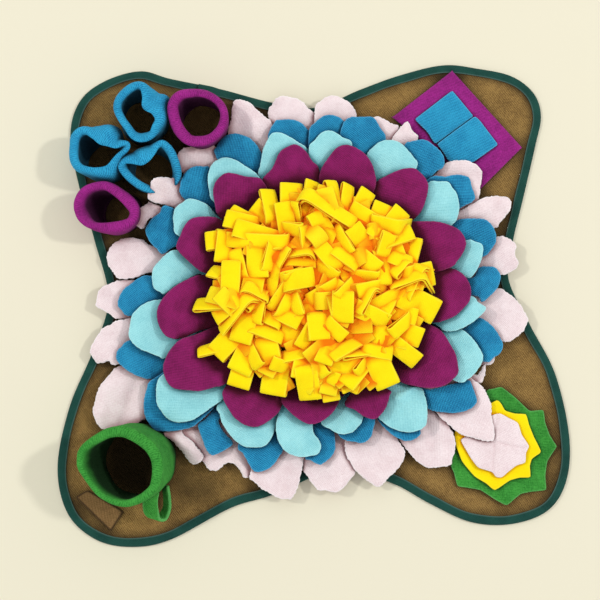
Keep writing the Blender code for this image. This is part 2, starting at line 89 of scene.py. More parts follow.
def on_mat(pixels, height):
    """Places in mm, at a height above the floor, of points given as photograph pixels."""
    pixels = np.asarray(pixels, float)
    across = (pixels[:, 0] - PHOTO_PIXELS / 2) / FOCAL_PIXELS
    upward = (PHOTO_PIXELS / 2 - pixels[:, 1]) / FOCAL_PIXELS
    forward = np.array([0.0, math.sin(CAMERA_TILT), -math.cos(CAMERA_TILT)])
    up = np.array([0.0, math.cos(CAMERA_TILT), math.sin(CAMERA_TILT)])
    sight = forward + across[:, None] * np.array([1.0, 0.0, 0.0]) + upward[:, None] * up
    reach = (height - camera_place[2]) / sight[:, 2]
    return (camera_place + reach[:, None] * sight)[:, :2]


print("lens", round(camera_data.lens, 2), "mm")

# %% [markdown]
# ## Light and floor
#
# The picture was taken in a bright room between two lights, a stronger one at the right and a weaker one at
# the left, so the cups throw a shadow to each side. An even pale world fills the shadows.

# %% Light and floor
FLOOR_COLOUR = (0.80, 0.755, 0.59)
FLOOR_ROUGHNESS = 0.9
FLOOR_HALF = 3.0
LAMP_SIZE = 0.28
LAMPS = [  # name, place in metres, power in watts, colour
    ("right_lamp", (2.3, 0.45, 2.6), 35.0, (1.0, 0.99, 0.97)),
    ("left_lamp", (-2.3, 0.7, 2.6), 31.0, (1.0, 0.985, 0.95))]
ROOM_COLOUR = (0.98, 0.985, 1.0)
ROOM_STRENGTH = 0.74

floor_mesh = bpy.data.meshes.new("floor")
floor_mesh.from_pydata([(FLOOR_HALF * x, FLOOR_HALF * y, 0) for x, y in ((-1, -1), (1, -1), (1, 1), (-1, 1))],
                       [], [(0, 1, 2, 3)])
floor = put("floor", floor_mesh)
floor_material = bpy.data.materials.new("floor_paper")
floor_material.use_nodes = True
floor_shader = floor_material.node_tree.nodes["Principled BSDF"]
floor_shader.inputs["Base Color"].default_value = (*FLOOR_COLOUR, 1.0)
floor_shader.inputs["Roughness"].default_value = FLOOR_ROUGHNESS
floor_mesh.materials.append(floor_material)

for name, place, power, colour in LAMPS:
    lamp = bpy.data.lights.new(name, "AREA")
    lamp.shape, lamp.size, lamp.energy, lamp.color = "DISK", LAMP_SIZE, power, colour
    light = put(name, lamp)
    light.location = place
    light.rotation_euler = (-Vector(place)).to_track_quat("-Z", "Y").to_euler()
world = bpy.data.worlds.new("room")
bpy.context.scene.world = world
world.use_nodes = True
world.node_tree.nodes["Background"].inputs["Color"].default_value = (*ROOM_COLOUR, 1.0)
world.node_tree.nodes["Background"].inputs["Strength"].default_value = ROOM_STRENGTH
bpy.context.scene.view_settings.view_transform = "Standard"
print(len(LAMPS), "lamps and a room light of", ROOM_STRENGTH)

# %% [markdown]
# ## Shader maths as sums
#
# A fleece material is a small amount of arithmetic on noise and on the place along and across the cloth. A
# socket wrapped in a class that knows plus and times lets that arithmetic be written as it would be on paper.


# %% Shader helpers
class Signal:
    """A number socket of a material, with the arithmetic that the fleeces use."""

    def __init__(self, nodes, socket):
        self.nodes, self.socket = nodes, socket

    def _math(self, operation, *values):
        node = self.nodes.add("ShaderNodeMath", {"operation": operation}, dict(enumerate(values)))
        return Signal(self.nodes, node.outputs[0])

    def __add__(self, other):
        return self._math("ADD", self, other)

    def __sub__(self, other):
        return self._math("SUBTRACT", self, other)

    def __rsub__(self, other):
        return self._math("SUBTRACT", other, self)

    def __mul__(self, other):
        return self._math("MULTIPLY", self, other)

    __radd__, __rmul__ = __add__, __mul__

    def sine(self):
        return self._math("SINE", self)

    def between(self, low, high):
        """0 below low, 1 above high, smooth between them."""
        node = self.nodes.add("ShaderNodeMapRange", {"interpolation_type": "SMOOTHSTEP"},
                              {"Value": self, "From Min": low, "From Max": high})
        return Signal(self.nodes, node.outputs["Result"])


class Nodes:
    """Adds nodes to a tree."""

    def __init__(self, tree):
        self.tree = tree

    def add(self, kind, settings=None, values=None):
        """A node of a kind with its settings, and a value or a link for each socket that is named."""
        node = self.tree.nodes.new(kind)
        for key, value in (settings or {}).items():
            setattr(node, key, value)
        for key, value in (values or {}).items():
            self.feed(node.inputs[key], value)
        return node

    def feed(self, socket, value):
        if isinstance(value, Signal):
            value = value.socket
        if isinstance(value, bpy.types.NodeSocket):
            self.tree.links.new(value, socket)
        else:
            socket.default_value = value

    def signal(self, kind, output, settings=None, values=None):
        """The number that comes out of a new node."""
        return Signal(self, self.add(kind, settings, values).outputs[output])

    def noise(self, place, scale, detail):
        """Noise from 0 to 1, taken about its middle."""
        values = {"Vector": place, "Scale": scale, "Detail": detail}
        return self.signal("ShaderNodeTexNoise", "Fac", None, values) - 0.5

    def blend(self, amount, first, second):
        """A colour between two colours."""
        node = self.add("ShaderNodeMix", {"data_type": "RGBA"}, {"Factor": amount})
        for socket, colour in ((node.inputs[6], first), (node.inputs[7], second)):
            self.feed(socket, colour if isinstance(colour, bpy.types.NodeSocket) else (*colour, 1.0))
        return node.outputs[2]


# %% [markdown]
# ## Fleece
#
# Fleece is a fine knit with a short brushed pile. Close to, it shows slanting rows of stitches about 2 mm
# apart, a fuzz of fibres, and patches where the pile lies another way. Its cut edges catch the light, so they
# get a paler colour, a painted highlight. The rows follow the cloth, so they are drawn on each piece's own flat
# map, in metres across and along the cut. The edge attribute is the distance to the cut edge, and the nook
# attribute marks cloth that lies deep in a fold, which gets a painted shade for the shadow there.

# %% Fleece material
STITCH_PITCH = 0.0022
SLANT_LEAN, COUNTER_LEAN = 0.8, 0.55  # of the two crossing sets of rows
FIBRE_SCALE, CLUMP_SCALE, PATCH_SCALE, SWAY_SCALE = 1400.0, 420.0, 55.0, 160.0
SWAY, CROSS_SWAY = 0.003, 0.6
SLANT_SHARE, COUNTER_SHARE = 0.7, 0.3
TONE = {"middle": 0.55, "knit": 0.45, "fibres": 1.3, "clumps": 1.1, "patches": 0.9}  # from 0, dark, to 1, light
RELIEF = {"knit": 0.8, "fibres": 1.1, "clumps": 1.2}
BUMP_STRENGTH = 0.8
RIM = (0.0003, 0.0018)  # metres from the cut edge between which its light fades
PALE_GAIN, PALE_LIFT = 1.2, 0.12
# How the nook shade attribute is turned into painted shade, for most fleeces and for the petals
NOOK_RANGE = (0.10, 0.80)
PETAL_NOOKS = (0.04, 0.54)
NOOK_SHARE = 0.3  # of the dark colour, as the painted shade of a fleece with no shade colour of its own
FINISH = {"Roughness": 0.95, "Specular IOR Level": 0.15, "Sheen Roughness": 0.55}


def fleece(name, light, dark, rows=0.5, fuzz=0.5, edge_light=0.4, nook_shade_colour=None, nook_shade_depth=0.8,
           nook_shade_range=NOOK_RANGE, sheen=0.25, relief=0.0006):
    """A fleece between two colours. rows and fuzz say how much its knit and its pile show."""
    material = bpy.data.materials.new(name)
    material.use_nodes = True
    make = Nodes(material.node_tree)
    shader = material.node_tree.nodes["Principled BSDF"]
    flat = make.add("ShaderNodeSeparateXYZ", None,
                    {"Vector": make.add("ShaderNodeUVMap", {"uv_map": "cut"}).outputs["UV"]})
    place = make.add("ShaderNodeTexCoord").outputs["Object"]
    sway = make.noise(place, SWAY_SCALE, 2.0) * SWAY
    across = Signal(make, flat.outputs["X"]) + sway
    along = Signal(make, flat.outputs["Y"]) - sway * CROSS_SWAY
    turn = 2 * math.pi / STITCH_PITCH
    slant = ((across + along * SLANT_LEAN) * turn).sine()
    counter = ((across * COUNTER_LEAN - along) * turn).sine()
    knit = slant * SLANT_SHARE + counter * COUNTER_SHARE
    fibres = make.noise(place, FIBRE_SCALE, 3.0)
    clumps = make.noise(place, CLUMP_SCALE, 2.0)
    patches = make.noise(place, PATCH_SCALE, 3.0)
    tone = (TONE["middle"] + knit * (TONE["knit"] * rows) + fibres * (TONE["fibres"] * fuzz)
            + clumps * (TONE["clumps"] * fuzz) + patches * TONE["patches"])
    colour = make.blend(tone.between(0.0, 1.0), dark, light)
    # Painted highlight: a paler colour along the cut edge, where it catches the light
    edge = make.signal("ShaderNodeAttribute", "Fac", {"attribute_name": "edge"})
    pale = tuple(min(1.0, channel * PALE_GAIN + PALE_LIFT) for channel in light)
    colour = make.blend((1 - edge.between(*RIM)) * edge_light, colour, pale)
    # Painted shade: where the nook shade attribute is high, the colour goes towards a dark shade colour
    nook = make.signal("ShaderNodeAttribute", "Fac", {"attribute_name": "nook"})
    shade = nook_shade_colour or tuple(NOOK_SHARE * channel for channel in dark)
    make.feed(shader.inputs["Base Color"], make.blend(nook.between(*nook_shade_range) * nook_shade_depth, colour, shade))
    height = (knit * (RELIEF["knit"] * rows) + fibres * (RELIEF["fibres"] * fuzz)
              + clumps * (RELIEF["clumps"] * fuzz))
    bump = make.add("ShaderNodeBump", None, {"Strength": BUMP_STRENGTH, "Distance": relief, "Height": height})
    make.feed(shader.inputs["Normal"], bump.outputs["Normal"])
    for socket, value in {**FINISH, "Sheen Weight": sheen, "Sheen Tint": (*pale, 1.0)}.items():
        shader.inputs[socket].default_value = value
    return material


# %% The colours of fleece in this mat
# The nook shade colour is each fleece's painted shade; the yellow's is orange, for light that bounces between
# the loops
LOOKS = {
    "brown_fleece": dict(light=(0.39, 0.235, 0.07), dark=(0.13, 0.07, 0.02), rows=1.0, fuzz=0.8,
                         nook_shade_colour=(0.022, 0.014, 0.006), nook_shade_depth=0.95),
    "patch_fleece": dict(light=(0.28, 0.16, 0.06), dark=(0.13, 0.07, 0.024), rows=0.9, fuzz=0.7, edge_light=0.0,
                         nook_shade_depth=0.9),
    "green_binding": dict(light=(0.015, 0.078, 0.060), dark=(0.006, 0.036, 0.029), rows=0.35, fuzz=0.3),
    "pink_fleece": dict(light=(0.95, 0.825, 0.835), dark=(0.77, 0.60, 0.615), rows=0.4, fuzz=0.55,
                        nook_shade_colour=(0.34, 0.17, 0.18), nook_shade_depth=0.9, nook_shade_range=PETAL_NOOKS),
    "petal_blue_fleece": dict(light=(0.03, 0.36, 0.63), dark=(0.007, 0.13, 0.30), rows=1.0, fuzz=0.5,
                              nook_shade_colour=(0.002, 0.025, 0.07), nook_shade_depth=0.9, nook_shade_range=PETAL_NOOKS),
    "aqua_fleece": dict(light=(0.38, 0.80, 0.83), dark=(0.22, 0.58, 0.64), rows=0.45, fuzz=0.45,
                        nook_shade_colour=(0.05, 0.22, 0.27), nook_shade_depth=0.9, nook_shade_range=PETAL_NOOKS),
    "wine_fleece": dict(light=(0.30, 0.015, 0.14), dark=(0.13, 0.007, 0.055), rows=0.6, fuzz=0.45,
                        edge_light=0.18, sheen=0.18, nook_shade_colour=(0.055, 0.003, 0.012), nook_shade_depth=0.95,
                        nook_shade_range=(0.02, 0.36)),
    "yellow_fleece": dict(light=(1.0, 0.84, 0.004), dark=(0.98, 0.67, 0.001), rows=0.15, fuzz=0.2,
                          edge_light=0.15, nook_shade_colour=(0.84, 0.18, 0.0), nook_shade_depth=1.0),
    "cup_blue_fleece": dict(light=(0.035, 0.42, 0.70), dark=(0.010, 0.19, 0.40), rows=1.0, fuzz=0.5,
                            nook_shade_colour=(0.001, 0.010, 0.022), nook_shade_depth=1.0),
    "cup_purple_fleece": dict(light=(0.38, 0.022, 0.26), dark=(0.16, 0.009, 0.11), rows=0.55, fuzz=0.7,
                              edge_light=0.1, nook_shade_colour=(0.014, 0.001, 0.010), nook_shade_depth=1.0),
    "bright_green_fleece": dict(light=(0.065, 0.38, 0.055), dark=(0.020, 0.18, 0.022), rows=0.5, fuzz=0.9,
                                relief=0.0008, sheen=0.12, nook_shade_colour=(0.002, 0.014, 0.003), nook_shade_depth=1.0)}
FLEECES = {name: fleece(name, **look) for name, look in LOOKS.items()}
print(len(FLEECES), "fleeces")

# %% [markdown]
# ## Curves
#
# Every outline is a closed curve through a few points. Catmull-Rom curves pass through their points, so a
# traced outline stays where it was traced.

# %% Curve helpers
CURVE_STEPS = 14  # between two traced points
FEWEST_POINTS = 8
TINY = 1e-9


def lengths(vectors):
    return np.hypot(*vectors.T) if vectors.shape[1] == 2 else np.linalg.norm(vectors, axis=1)


def unit(vectors):
    """The same directions with length 1."""
    return vectors / np.maximum(lengths(vectors), TINY)[:, None]


def left_of(vectors):
    """The directions a quarter turn to the left."""
    return np.column_stack([-vectors[:, 1], vectors[:, 0]])


def walk(points):
    """How far along a line of points each of them is."""
    return np.concatenate([[0.0], np.cumsum(np.linalg.norm(np.diff(points, axis=0), axis=1))])


def hermite(share, here, leave, after, arrive):
    """The smooth way from here to after that leaves and arrives with the given slopes."""
    return ((2 * share ** 3 - 3 * share ** 2 + 1) * here + (share ** 3 - 2 * share ** 2 + share) * leave
            + (3 * share ** 2 - 2 * share ** 3) * after + (share ** 3 - share ** 2) * arrive)


def closed_curve(points, spacing, pull=0.5):
    """Evenly spaced points on a smooth closed curve through the given points. pull 0 gives straight sides."""
    anchors = np.asarray(points, float)
    count, fine = len(anchors), []
    steps = np.linspace(0.0, 1.0, CURVE_STEPS, endpoint=False)[:, None]
    for k in range(count):
        before, here, after, beyond = (anchors[(k + i) % count] for i in (-1, 0, 1, 2))
        fine.append(hermite(steps, here, pull * (after - before), after, pull * (beyond - here)))
    fine = np.vstack(fine + [fine[0][:1]])
    walked = walk(fine)
    number = max(int(round(walked[-1] / spacing)), FEWEST_POINTS)
    stations = np.linspace(0.0, walked[-1], number, endpoint=False)
    return anticlockwise(np.stack([np.interp(stations, walked, fine[:, axis]) for axis in (0, 1)], axis=1))


def anticlockwise(loop):
    following = np.roll(loop, -1, axis=0)
    area = 0.5 * (loop[:, 0] * following[:, 1] - loop[:, 1] * following[:, 0]).sum()
    return loop if area > 0 else loop[::-1]


def outward(loop):
    """The direction away from the inside of a loop, at each of its points."""
    return -left_of(unit(np.roll(loop, -1, axis=0) - np.roll(loop, 1, axis=0)))


def softened(values, times):
    """Values round a loop, each eased towards its two neighbours."""
    for _ in range(times):
        values = 0.5 * values + 0.25 * (np.roll(values, 1) + np.roll(values, -1))
    return values


def distance_to(points, line, closed=True):
    """Distance in mm of each point from the nearest side of a loop or of an open line."""
    start = np.asarray(line, float)
    end = np.roll(start, -1, axis=0)
    if not closed:
        start, end = start[:-1], start[1:]
    nearest = np.full(len(points), np.inf)
    for a, b in zip(start, end):
        side = b - a
        share = np.clip(((points - a) @ side) / max(side @ side, TINY), 0.0, 1.0)
        nearest = np.minimum(nearest, lengths(points - a - share[:, None] * side))
    return nearest


def within(points, loop):
    """Whether each point lies inside the loop."""
    inside = np.zeros(len(points), bool)
    for a, b in zip(loop, np.roll(loop, -1, axis=0)):
        crosses = (a[1] > points[:, 1]) != (b[1] > points[:, 1])
        rise = b[1] - a[1] if abs(b[1] - a[1]) > TINY else TINY
        inside ^= crosses & (points[:, 0] < a[0] + (points[:, 1] - a[1]) * (b[0] - a[0]) / rise)
    return inside


# %% [markdown]
# ## Cutting a piece of cloth
#
# A cut piece is its outline filled with triangles. A second outline just inside the first keeps the edge crisp,
# because the cloth is rounded off only between the two.

# %% Cutting
EDGE_BEVEL = 1.1
INNER_KEPT = 0.8  # of the bevel, that a point of the inner outline has to keep
HEX_ROW = 0.866  # height of a row of even triangles, as a share of their side
HEX_MARGIN = 0.55
MERGE_WITHIN = 1e-4


def cut_cloth(outline, spacing):
    """Flat points and triangles that fill the outline, and each point's distance from the cut edge."""
    inner = outline - outward(outline) * EDGE_BEVEL
    inner = inner[distance_to(inner, outline) > INNER_KEPT * EDGE_BEVEL]
    low, high = outline.min(axis=0), outline.max(axis=0)
    hexes = np.array([(x + (0.5 * spacing if k % 2 else 0.0), y)
                      for k, y in enumerate(np.arange(low[1], high[1], spacing * HEX_ROW))
                      for x in np.arange(low[0], high[0], spacing)])
    hexes = hexes[within(hexes, outline)]
    hexes = hexes[distance_to(hexes, outline) > EDGE_BEVEL + HEX_MARGIN * spacing]
    everything = [Vector(point) for point in np.vstack([outline, inner, hexes]).tolist()]
    points, _, faces, *_ = delaunay_2d_cdt(everything, [], [list(range(len(outline)))], 1, MERGE_WITHIN)
    points = np.array([tuple(point) for point in points])
    triangles = np.array([face for face in faces if len(face) == 3])
    triangles = triangles[within(points[triangles].mean(axis=1), outline)]
    clockwise = twice_area(points, triangles) < 0
    triangles[clockwise] = triangles[clockwise][:, ::-1]
    return points, triangles, distance_to(points, outline)


def twice_area(points, triangles):
    """Twice the area of each flat triangle, negative where it goes round clockwise."""
    a, b, c = (points[triangles[:, k]] for k in range(3))
    return (b - a)[:, 0] * (c - a)[:, 1] - (b - a)[:, 1] * (c - a)[:, 0]


def cloth_area(points, triangles):
    return 0.5 * np.abs(twice_area(points, triangles)).sum()


def border_edges(triangles):
    """The sides that belong to one triangle only, each in its triangle's own direction."""
    sides = np.vstack([triangles[:, [0, 1]], triangles[:, [1, 2]], triangles[:, [2, 0]]])
    seen = {tuple(side) for side in sides}
    return [side for side in seen if (side[1], side[0]) not in seen]


# %% [markdown]
# ## Laying a piece over the others
#
# The real mat is sewn from the outside in, each petal over the ones before. A height map remembers the
# highest cloth at every place. A new piece is raised wherever it would cut into the map, smoothed so that it
# bridges steps as fleece does, and then added to the map itself.


# %% Laying
class LaidCloth:
    CELL, HALF, AIR = 2.0, 300.0, 0.4  # mm: of the map's cells, of half its width, and between two pieces
    SAMPLES = 6  # along a triangle's side, where a piece is added
    CLEARED = 2  # cells round each point that it has to clear
    PASSES = 10
    BRIDGING = 0.6  # how far a point follows its neighbours at each step

    def __init__(self):
        self.count = int(2 * self.HALF / self.CELL)
        self.top = np.zeros((self.count, self.count))

    def cells(self, xy):
        """Rows and columns of the map's cells under the given places."""
        spots = np.clip(((xy + self.HALF) / self.CELL).astype(int), 0, self.count - 1)
        return spots[:, 0], spots[:, 1]

    def spread(self):
        """The map with each cell raised to the highest one near it."""
        grown = self.top
        for _ in range(self.CLEARED):
            padded = np.pad(grown, 1, mode="edge")
            grown = np.max([padded[i:i + self.count, j:j + self.count]
                            for i in range(3) for j in range(3)], axis=0)
        return grown

    def add(self, points, triangles, thickness):
        """Raises the map to the top of a sheet."""
        corners = points[triangles]
        for i in range(self.SAMPLES + 1):
            for j in range(self.SAMPLES + 1 - i):
                share = np.array([i, j, self.SAMPLES - i - j]) / self.SAMPLES
                place = np.einsum("k,nkc->nc", share, corners)
                np.maximum.at(self.top, self.cells(place[:, :2]), place[:, 2] + 0.5 * thickness)

    def lay(self, flat, triangles, rest, thickness, stiffness=4):
        """Heights of a sheet that would like to rest at the given heights but has to clear the map."""
        needed = self.spread()[self.cells(flat)] + 0.5 * thickness + self.AIR
        sides = np.array(list({tuple(sorted(side)) for t in triangles
                               for side in (t[[0, 1]], t[[1, 2]], t[[2, 0]])}))
        degree = np.maximum(np.bincount(sides.ravel(), minlength=len(flat)), 1)
        height = np.maximum(rest, needed)
        for _ in range(self.PASSES):
            raised = height - rest
            for _ in range(stiffness):
                total = np.bincount(sides[:, 0], raised[sides[:, 1]], len(flat))
                total += np.bincount(sides[:, 1], raised[sides[:, 0]], len(flat))
                raised = (1 - self.BRIDGING) * raised + self.BRIDGING * total / degree
            height = np.maximum(rest + raised, needed)
        return height


laid = LaidCloth()
print("height map of", laid.count, "by", laid.count, "cells")

# %% [markdown]
# ## From a laid sheet to a piece
#
# A piece gets a top and an underside with the cloth's thickness between them, and its edge is rounded by
# letting the outermost points meet halfway. The flat map and the distance to the edge go with it.

# %% Pieces
FLEECE_THICK = 2.0
AT_EDGE = 0.3  # mm from the cut edge, within which a point is on it
EDGE_SHARE = 0.35  # of the thickness that is left there
FLOOR_EDGE = 0.4  # mm that is left there of a piece on the floor
Sheet = namedtuple("Sheet", "points faces flat_map edge")  # points in mm, flat_map and edge in metres


def two_sided(points, triangles, flat_map, edge, thickness=FLEECE_THICK, floor_height=None):
    """A laid sheet with its top, its underside and a rounded edge."""
    half = np.where(edge < AT_EDGE, EDGE_SHARE, 1.0) * 0.5 * thickness
    top, under = points.copy(), points.copy()
    top[:, 2] += half
    under[:, 2] -= half
    if floor_height is not None:
        at_edge = np.minimum(under[:, 2], top[:, 2] - FLOOR_EDGE)
        under[:, 2] = np.where(edge < AT_EDGE, at_edge, floor_height)
    count = len(points)
    faces = [tuple(t) for t in triangles] + [tuple(t[::-1] + count) for t in triangles]
    faces += [(b, a, a + count, b + count) for a, b in border_edges(triangles)]
    return Sheet(np.vstack([top, under]), faces, np.vstack([flat_map, flat_map]),
                 np.concatenate([edge, edge]) * MM)


def strip_map(across, along):
    """The flat map of rows of points, from their places in mm across a strip and along it."""
    return np.stack(np.broadcast_arrays(across, along), axis=-1).reshape(-1, 2) * MM


AHEAD, BACKWARD, ROUND = (0, 1, 2, 3), (3, 2, 1, 0), (0, 3, 2, 1)  # ways to go round a face


def skin(numbers, way=AHEAD):
    """Faces over a grid of point numbers."""
    quads = np.stack([numbers[:-1, :-1], numbers[1:, :-1], numbers[1:, 1:], numbers[:-1, 1:]], axis=-1)
    return [tuple(quad) for quad in quads.reshape(-1, 4)[:, way].tolist()]


def tube(rows, count, closed=False):
    """Faces between rows of points that each go round a section. closed joins the last row to the first."""
    numbers = np.arange(rows * count).reshape(rows, count)
    return skin(np.pad(numbers, ((0, int(closed)), (0, 1)), mode="wrap"), ROUND)


def read(items, name, width=1, kind=float):
    """One property of all the points, sides or corners of a mesh."""
    values = np.zeros(width * len(items), kind)
    items.foreach_get(name, values)
    return values.reshape(-1, width) if width > 1 else values


def cloth_mesh(name, sheets, round_trip=0.0):
    """Sheets as one mesh. A tube has a round_trip, the length in metres after which its flat map closes."""
    faces, start = [], 0
    for sheet in sheets:
        faces += [tuple(int(k) + start for k in face) for face in sheet.faces]
        start += len(sheet.points)
    mesh = bpy.data.meshes.new(name)
    mesh.from_pydata((np.vstack([sheet.points for sheet in sheets]) * MM).tolist(), [], faces)
    flat = np.vstack([sheet.flat_map for sheet in sheets])[read(mesh.loops, "vertex_index", kind=int)]
    if round_trip:
        around = flat[:, 0].reshape(-1, 4)
        over_seam = np.ptp(around, axis=1, keepdims=True) > 0.5 * round_trip
        flat[:, 0] = (around + round_trip * (over_seam & (around < 0.5 * round_trip))).ravel()
    mesh.uv_layers.new(name="cut").data.foreach_set("uv", flat.ravel())
    edges = np.concatenate([sheet.edge for sheet in sheets])
    mesh.attributes.new("edge", "FLOAT", "POINT").data.foreach_set("value", edges)
    mesh.shade_smooth()
    return mesh


def make_piece(name, sheets, slot, node, look=None, round_trip=0.0):
    """Sheets as one object at the origin, with its material and what the frame needs to know."""
    mesh = cloth_mesh(name, sheets, round_trip)
    mesh.materials.append(FLEECES[look or slot])
    return settle(put(name, mesh), slot, node)


def settle(piece, slot, node):
    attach(piece, "root")
    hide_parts(node)
    return piece


def say_laid(piece, size, area, under):
    """Turns a laid sheet's area, given in square mm, into square metres and keeps nothing. Its flat size is not
    used.
    """
    float(area * MM * MM)


def turn_outwards(piece):
    """Turns all faces of a closed piece outwards."""
    shell = bmesh.new()
    shell.from_mesh(piece.data)
    bmesh.ops.recalc_face_normals(shell, faces=shell.faces)
    shell.to_mesh(piece.data)
    shell.free()


WAVES = 5
WAVE_SIZES = (0.7, 1.6)
WAVE_SUM = 2.2  # of so many waves, most of the time


def wander(points, seed, size, height):
    """A slow rise and fall over the points, in mm, that is the same on every run."""
    dice = np.random.default_rng(seed)
    total = np.zeros(len(points))
    for _ in range(WAVES):
        turn, shift = dice.uniform(0, 2 * math.pi, 2)
        wave = 2 * math.pi / (size * dice.uniform(*WAVE_SIZES))
        total += np.sin((points[:, 0] * math.cos(turn) + points[:, 1] * math.sin(turn)) * wave + shift)
    return height * total / WAVE_SUM


def ridge(points, ends, height, half_width):
    """A ridge, or a crease where height is negative, along a line."""
    return height * np.exp(-(distance_to(points, ends, closed=False) / half_width) ** 2)


# %% [markdown]
# ## The padded base
#
# The base is one thick piece in the shape of four lobes. Its top is not quite flat: it sags a little between
# the seams and has a few pressed creases in its corners.

# %% Base
MAT_OUTLINE = [  # mm, anticlockwise from the notch at +X
    (221, 25), (227, 68), (239, 115), (255, 179), (262, 213), (254, 240), (229, 260), (190, 269), (150, 273),
    (100, 261), (54, 244), (3, 223), (-47, 229), (-107, 245), (-164, 257), (-199, 266), (-240, 254),
    (-268, 230), (-278, 190), (-267, 132), (-248, 69), (-231, 1), (-249, -61), (-272, -119), (-284, -185),
    (-272, -236), (-240, -265), (-200, -273), (-157, -265), (-92, -231), (-47, -217), (30, -188), (88, -204),
    (129, -226), (174, -246), (220, -248), (260, -233), (281, -200), (285, -150), (271, -82), (244, -27)]
BASE_TOP = 3.2
BASE_INSET = 3.0
BASE_SPACING = 6.5
OUTLINE_SPACING = 4.0
BASE_UNDER = 0.05  # mm from the floor to the underside
BASE_SWELLS = (70.0, 0.5)  # length and height in mm
FLAT_RIM = 20.0  # mm over which the swells fade to the edge
TWILL_LEAN = math.radians(-68.0)
BASE_CREASES = [  # pixels of both ends, depth in mm, half-width in mm
    ((122, 524), (128, 540), -1.0, 2.5), ((546, 470), (553, 484), -1.2, 2.5),
    ((150, 505), (140, 528), -0.8, 3.0), ((505, 165), (525, 185), -0.9, 4.0),
    ((90, 440), (100, 455), -0.8, 3.0), ((500, 98), (520, 108), 0.8, 5.0),
    ((552, 447), (562, 447), -1.0, 2.5), ((62, 205), (100, 245), 0.7, 6.0),
    ((470, 500), (500, 512), 0.8, 6.0)]

mat_edge = closed_curve(MAT_OUTLINE, OUTLINE_SPACING)
base_flat, base_triangles, base_edge = cut_cloth(mat_edge - outward(mat_edge) * BASE_INSET, BASE_SPACING)
base_top = BASE_TOP + wander(base_flat, 3, *BASE_SWELLS) * np.clip(base_edge / FLAT_RIM, 0, 1)
for start, end, depth, half_width in BASE_CREASES:
    base_top += ridge(base_flat, on_mat([start, end], BASE_TOP), depth, half_width)
base_points = np.column_stack([base_flat, base_top - 0.5 * BASE_TOP])
lean_x, lean_y = math.cos(TWILL_LEAN), math.sin(TWILL_LEAN)
base_map = base_flat @ np.array([[lean_x, -lean_y], [lean_y, lean_x]]) * MM
base_sheet = two_sided(base_points, base_triangles, base_map, base_edge, BASE_TOP, floor_height=BASE_UNDER)
base = make_piece("base", [base_sheet], "brown_fleece", "base_mat")
say_laid(base, np.ptp(base_flat, axis=0) * MM, cloth_area(base_flat, base_triangles), floor)
laid.top[:] = BASE_TOP
print("base", len(base_flat), "points")

# %% [markdown]
# ## The bound edge
#
# A tape folded round the edge of the mat holds its layers together. It is one long strip, swept round the
# outline, and its two ends overlap at the top left, where a small step shows.

# %% Binding
BINDING_TOP = 4.6
TAPE_THICK = 0.8
LAP_PIXEL = (209, 84)
LAP_LENGTH = 14.0
LAP_RISE, LAP_SLOPE, LAP_OUT = 0.9, 0.4, 0.6  # mm up, mm up just before it, and mm out for each mm up
PUCKER_LINE = 6.0  # mm from the edge, beyond which the tape's stitched side puckers
PUCKERS = [(0.25, 9.0, 0.0), (0.2, 23.0, 1.0)]  # depth and length in mm, and where the wave starts
TAPE_MIDDLE = 2.0  # mm up, above which the tape is on the mat's top
TAPE_FOLD = [  # inwards from the edge, and up, in mm
    (9.6, 3.9), (9.2, 4.15), (7.0, 4.2), (4.5, 4.25), (2.4, 4.1), (1.1, 3.5), (0.5, 2.6), (0.5, 1.7),
    (1.1, 0.8), (2.4, 0.45), (6.0, 0.4), (9.4, 0.4)]


def tape():
    """The folded tape as one strip with both ends capped, and its width and length in metres."""
    lap = on_mat([LAP_PIXEL], BINDING_TOP)[0]
    edge_line = np.roll(mat_edge, -int(lengths(mat_edge - lap).argmin()), axis=0)
    laps = int(LAP_LENGTH / OUTLINE_SPACING)
    line, normal = (np.vstack([way, way[:laps + 1]]) for way in (edge_line, outward(edge_line)))
    raised = np.zeros(len(line))
    raised[-laps - 2:], raised[-laps - 3] = LAP_RISE, LAP_SLOPE
    raised = raised[:, None]
    fold = np.array(TAPE_FOLD)
    proud = -left_of(unit(np.gradient(fold, axis=0))) * 0.5 * TAPE_THICK
    section = np.vstack([fold + proud, (fold - proud)[::-1]])
    walked = walk(line)[:, None]
    puckers = sum(depth * np.sin(walked / length + start) for depth, length, start in PUCKERS)
    inward = section[:, 0] + puckers * (section[:, 0] > PUCKER_LINE) - raised * LAP_OUT
    up = section[:, 1] + raised * (section[:, 1] > TAPE_MIDDLE)
    sideways = line[:, None] - normal[:, None] * inward[:, :, None]
    half = walk(fold)
    across = np.concatenate([half, half[::-1]])
    count = len(section)
    faces = tube(len(line), count)
    for start, flip in ((0, False), ((len(line) - 1) * count, True)):
        for j in range(len(fold) - 1):
            quad = (start + j, start + count - 1 - j, start + count - 2 - j, start + j + 1)
            faces.append(quad[::-1] if flip else quad)
    strip = Sheet(np.dstack([sideways, up]).reshape(-1, 3), faces, strip_map(across, walked),
                  np.tile(np.minimum(across, across.max() - across), len(line)) * MM)
    return strip, half[-1] * MM, walked[-1, 0] * MM


binding_strip, tape_width, tape_length = tape()
binding = make_piece("binding_tape", [binding_strip], "green_binding", "binding")
turn_outwards(binding)
print("tape", round(tape_width / MM, 1), "mm wide and", round(tape_length, 2), "m long")

# %% [markdown]
# ## Flat pieces sewn on the corners
#
# A brown patch lies at the lower left. At the upper right a purple square carries two blue flaps, sewn along
# one side so that a treat can go under them. At the lower right are three stars, green, yellow and pink, and
# the pink one is sewn down along a cross, so that it puffs up into four pads.


# %% Flat pieces
STRAIGHT_PULL = 0.16
ROUNDING, ROUNDED_SHARE = 2.0, 0.3  # mm, or a share of a short side
FLAT_SWELL = 30.0  # mm, length of the swells of a flat piece
CURL_REACH = 5.0  # mm from the edge


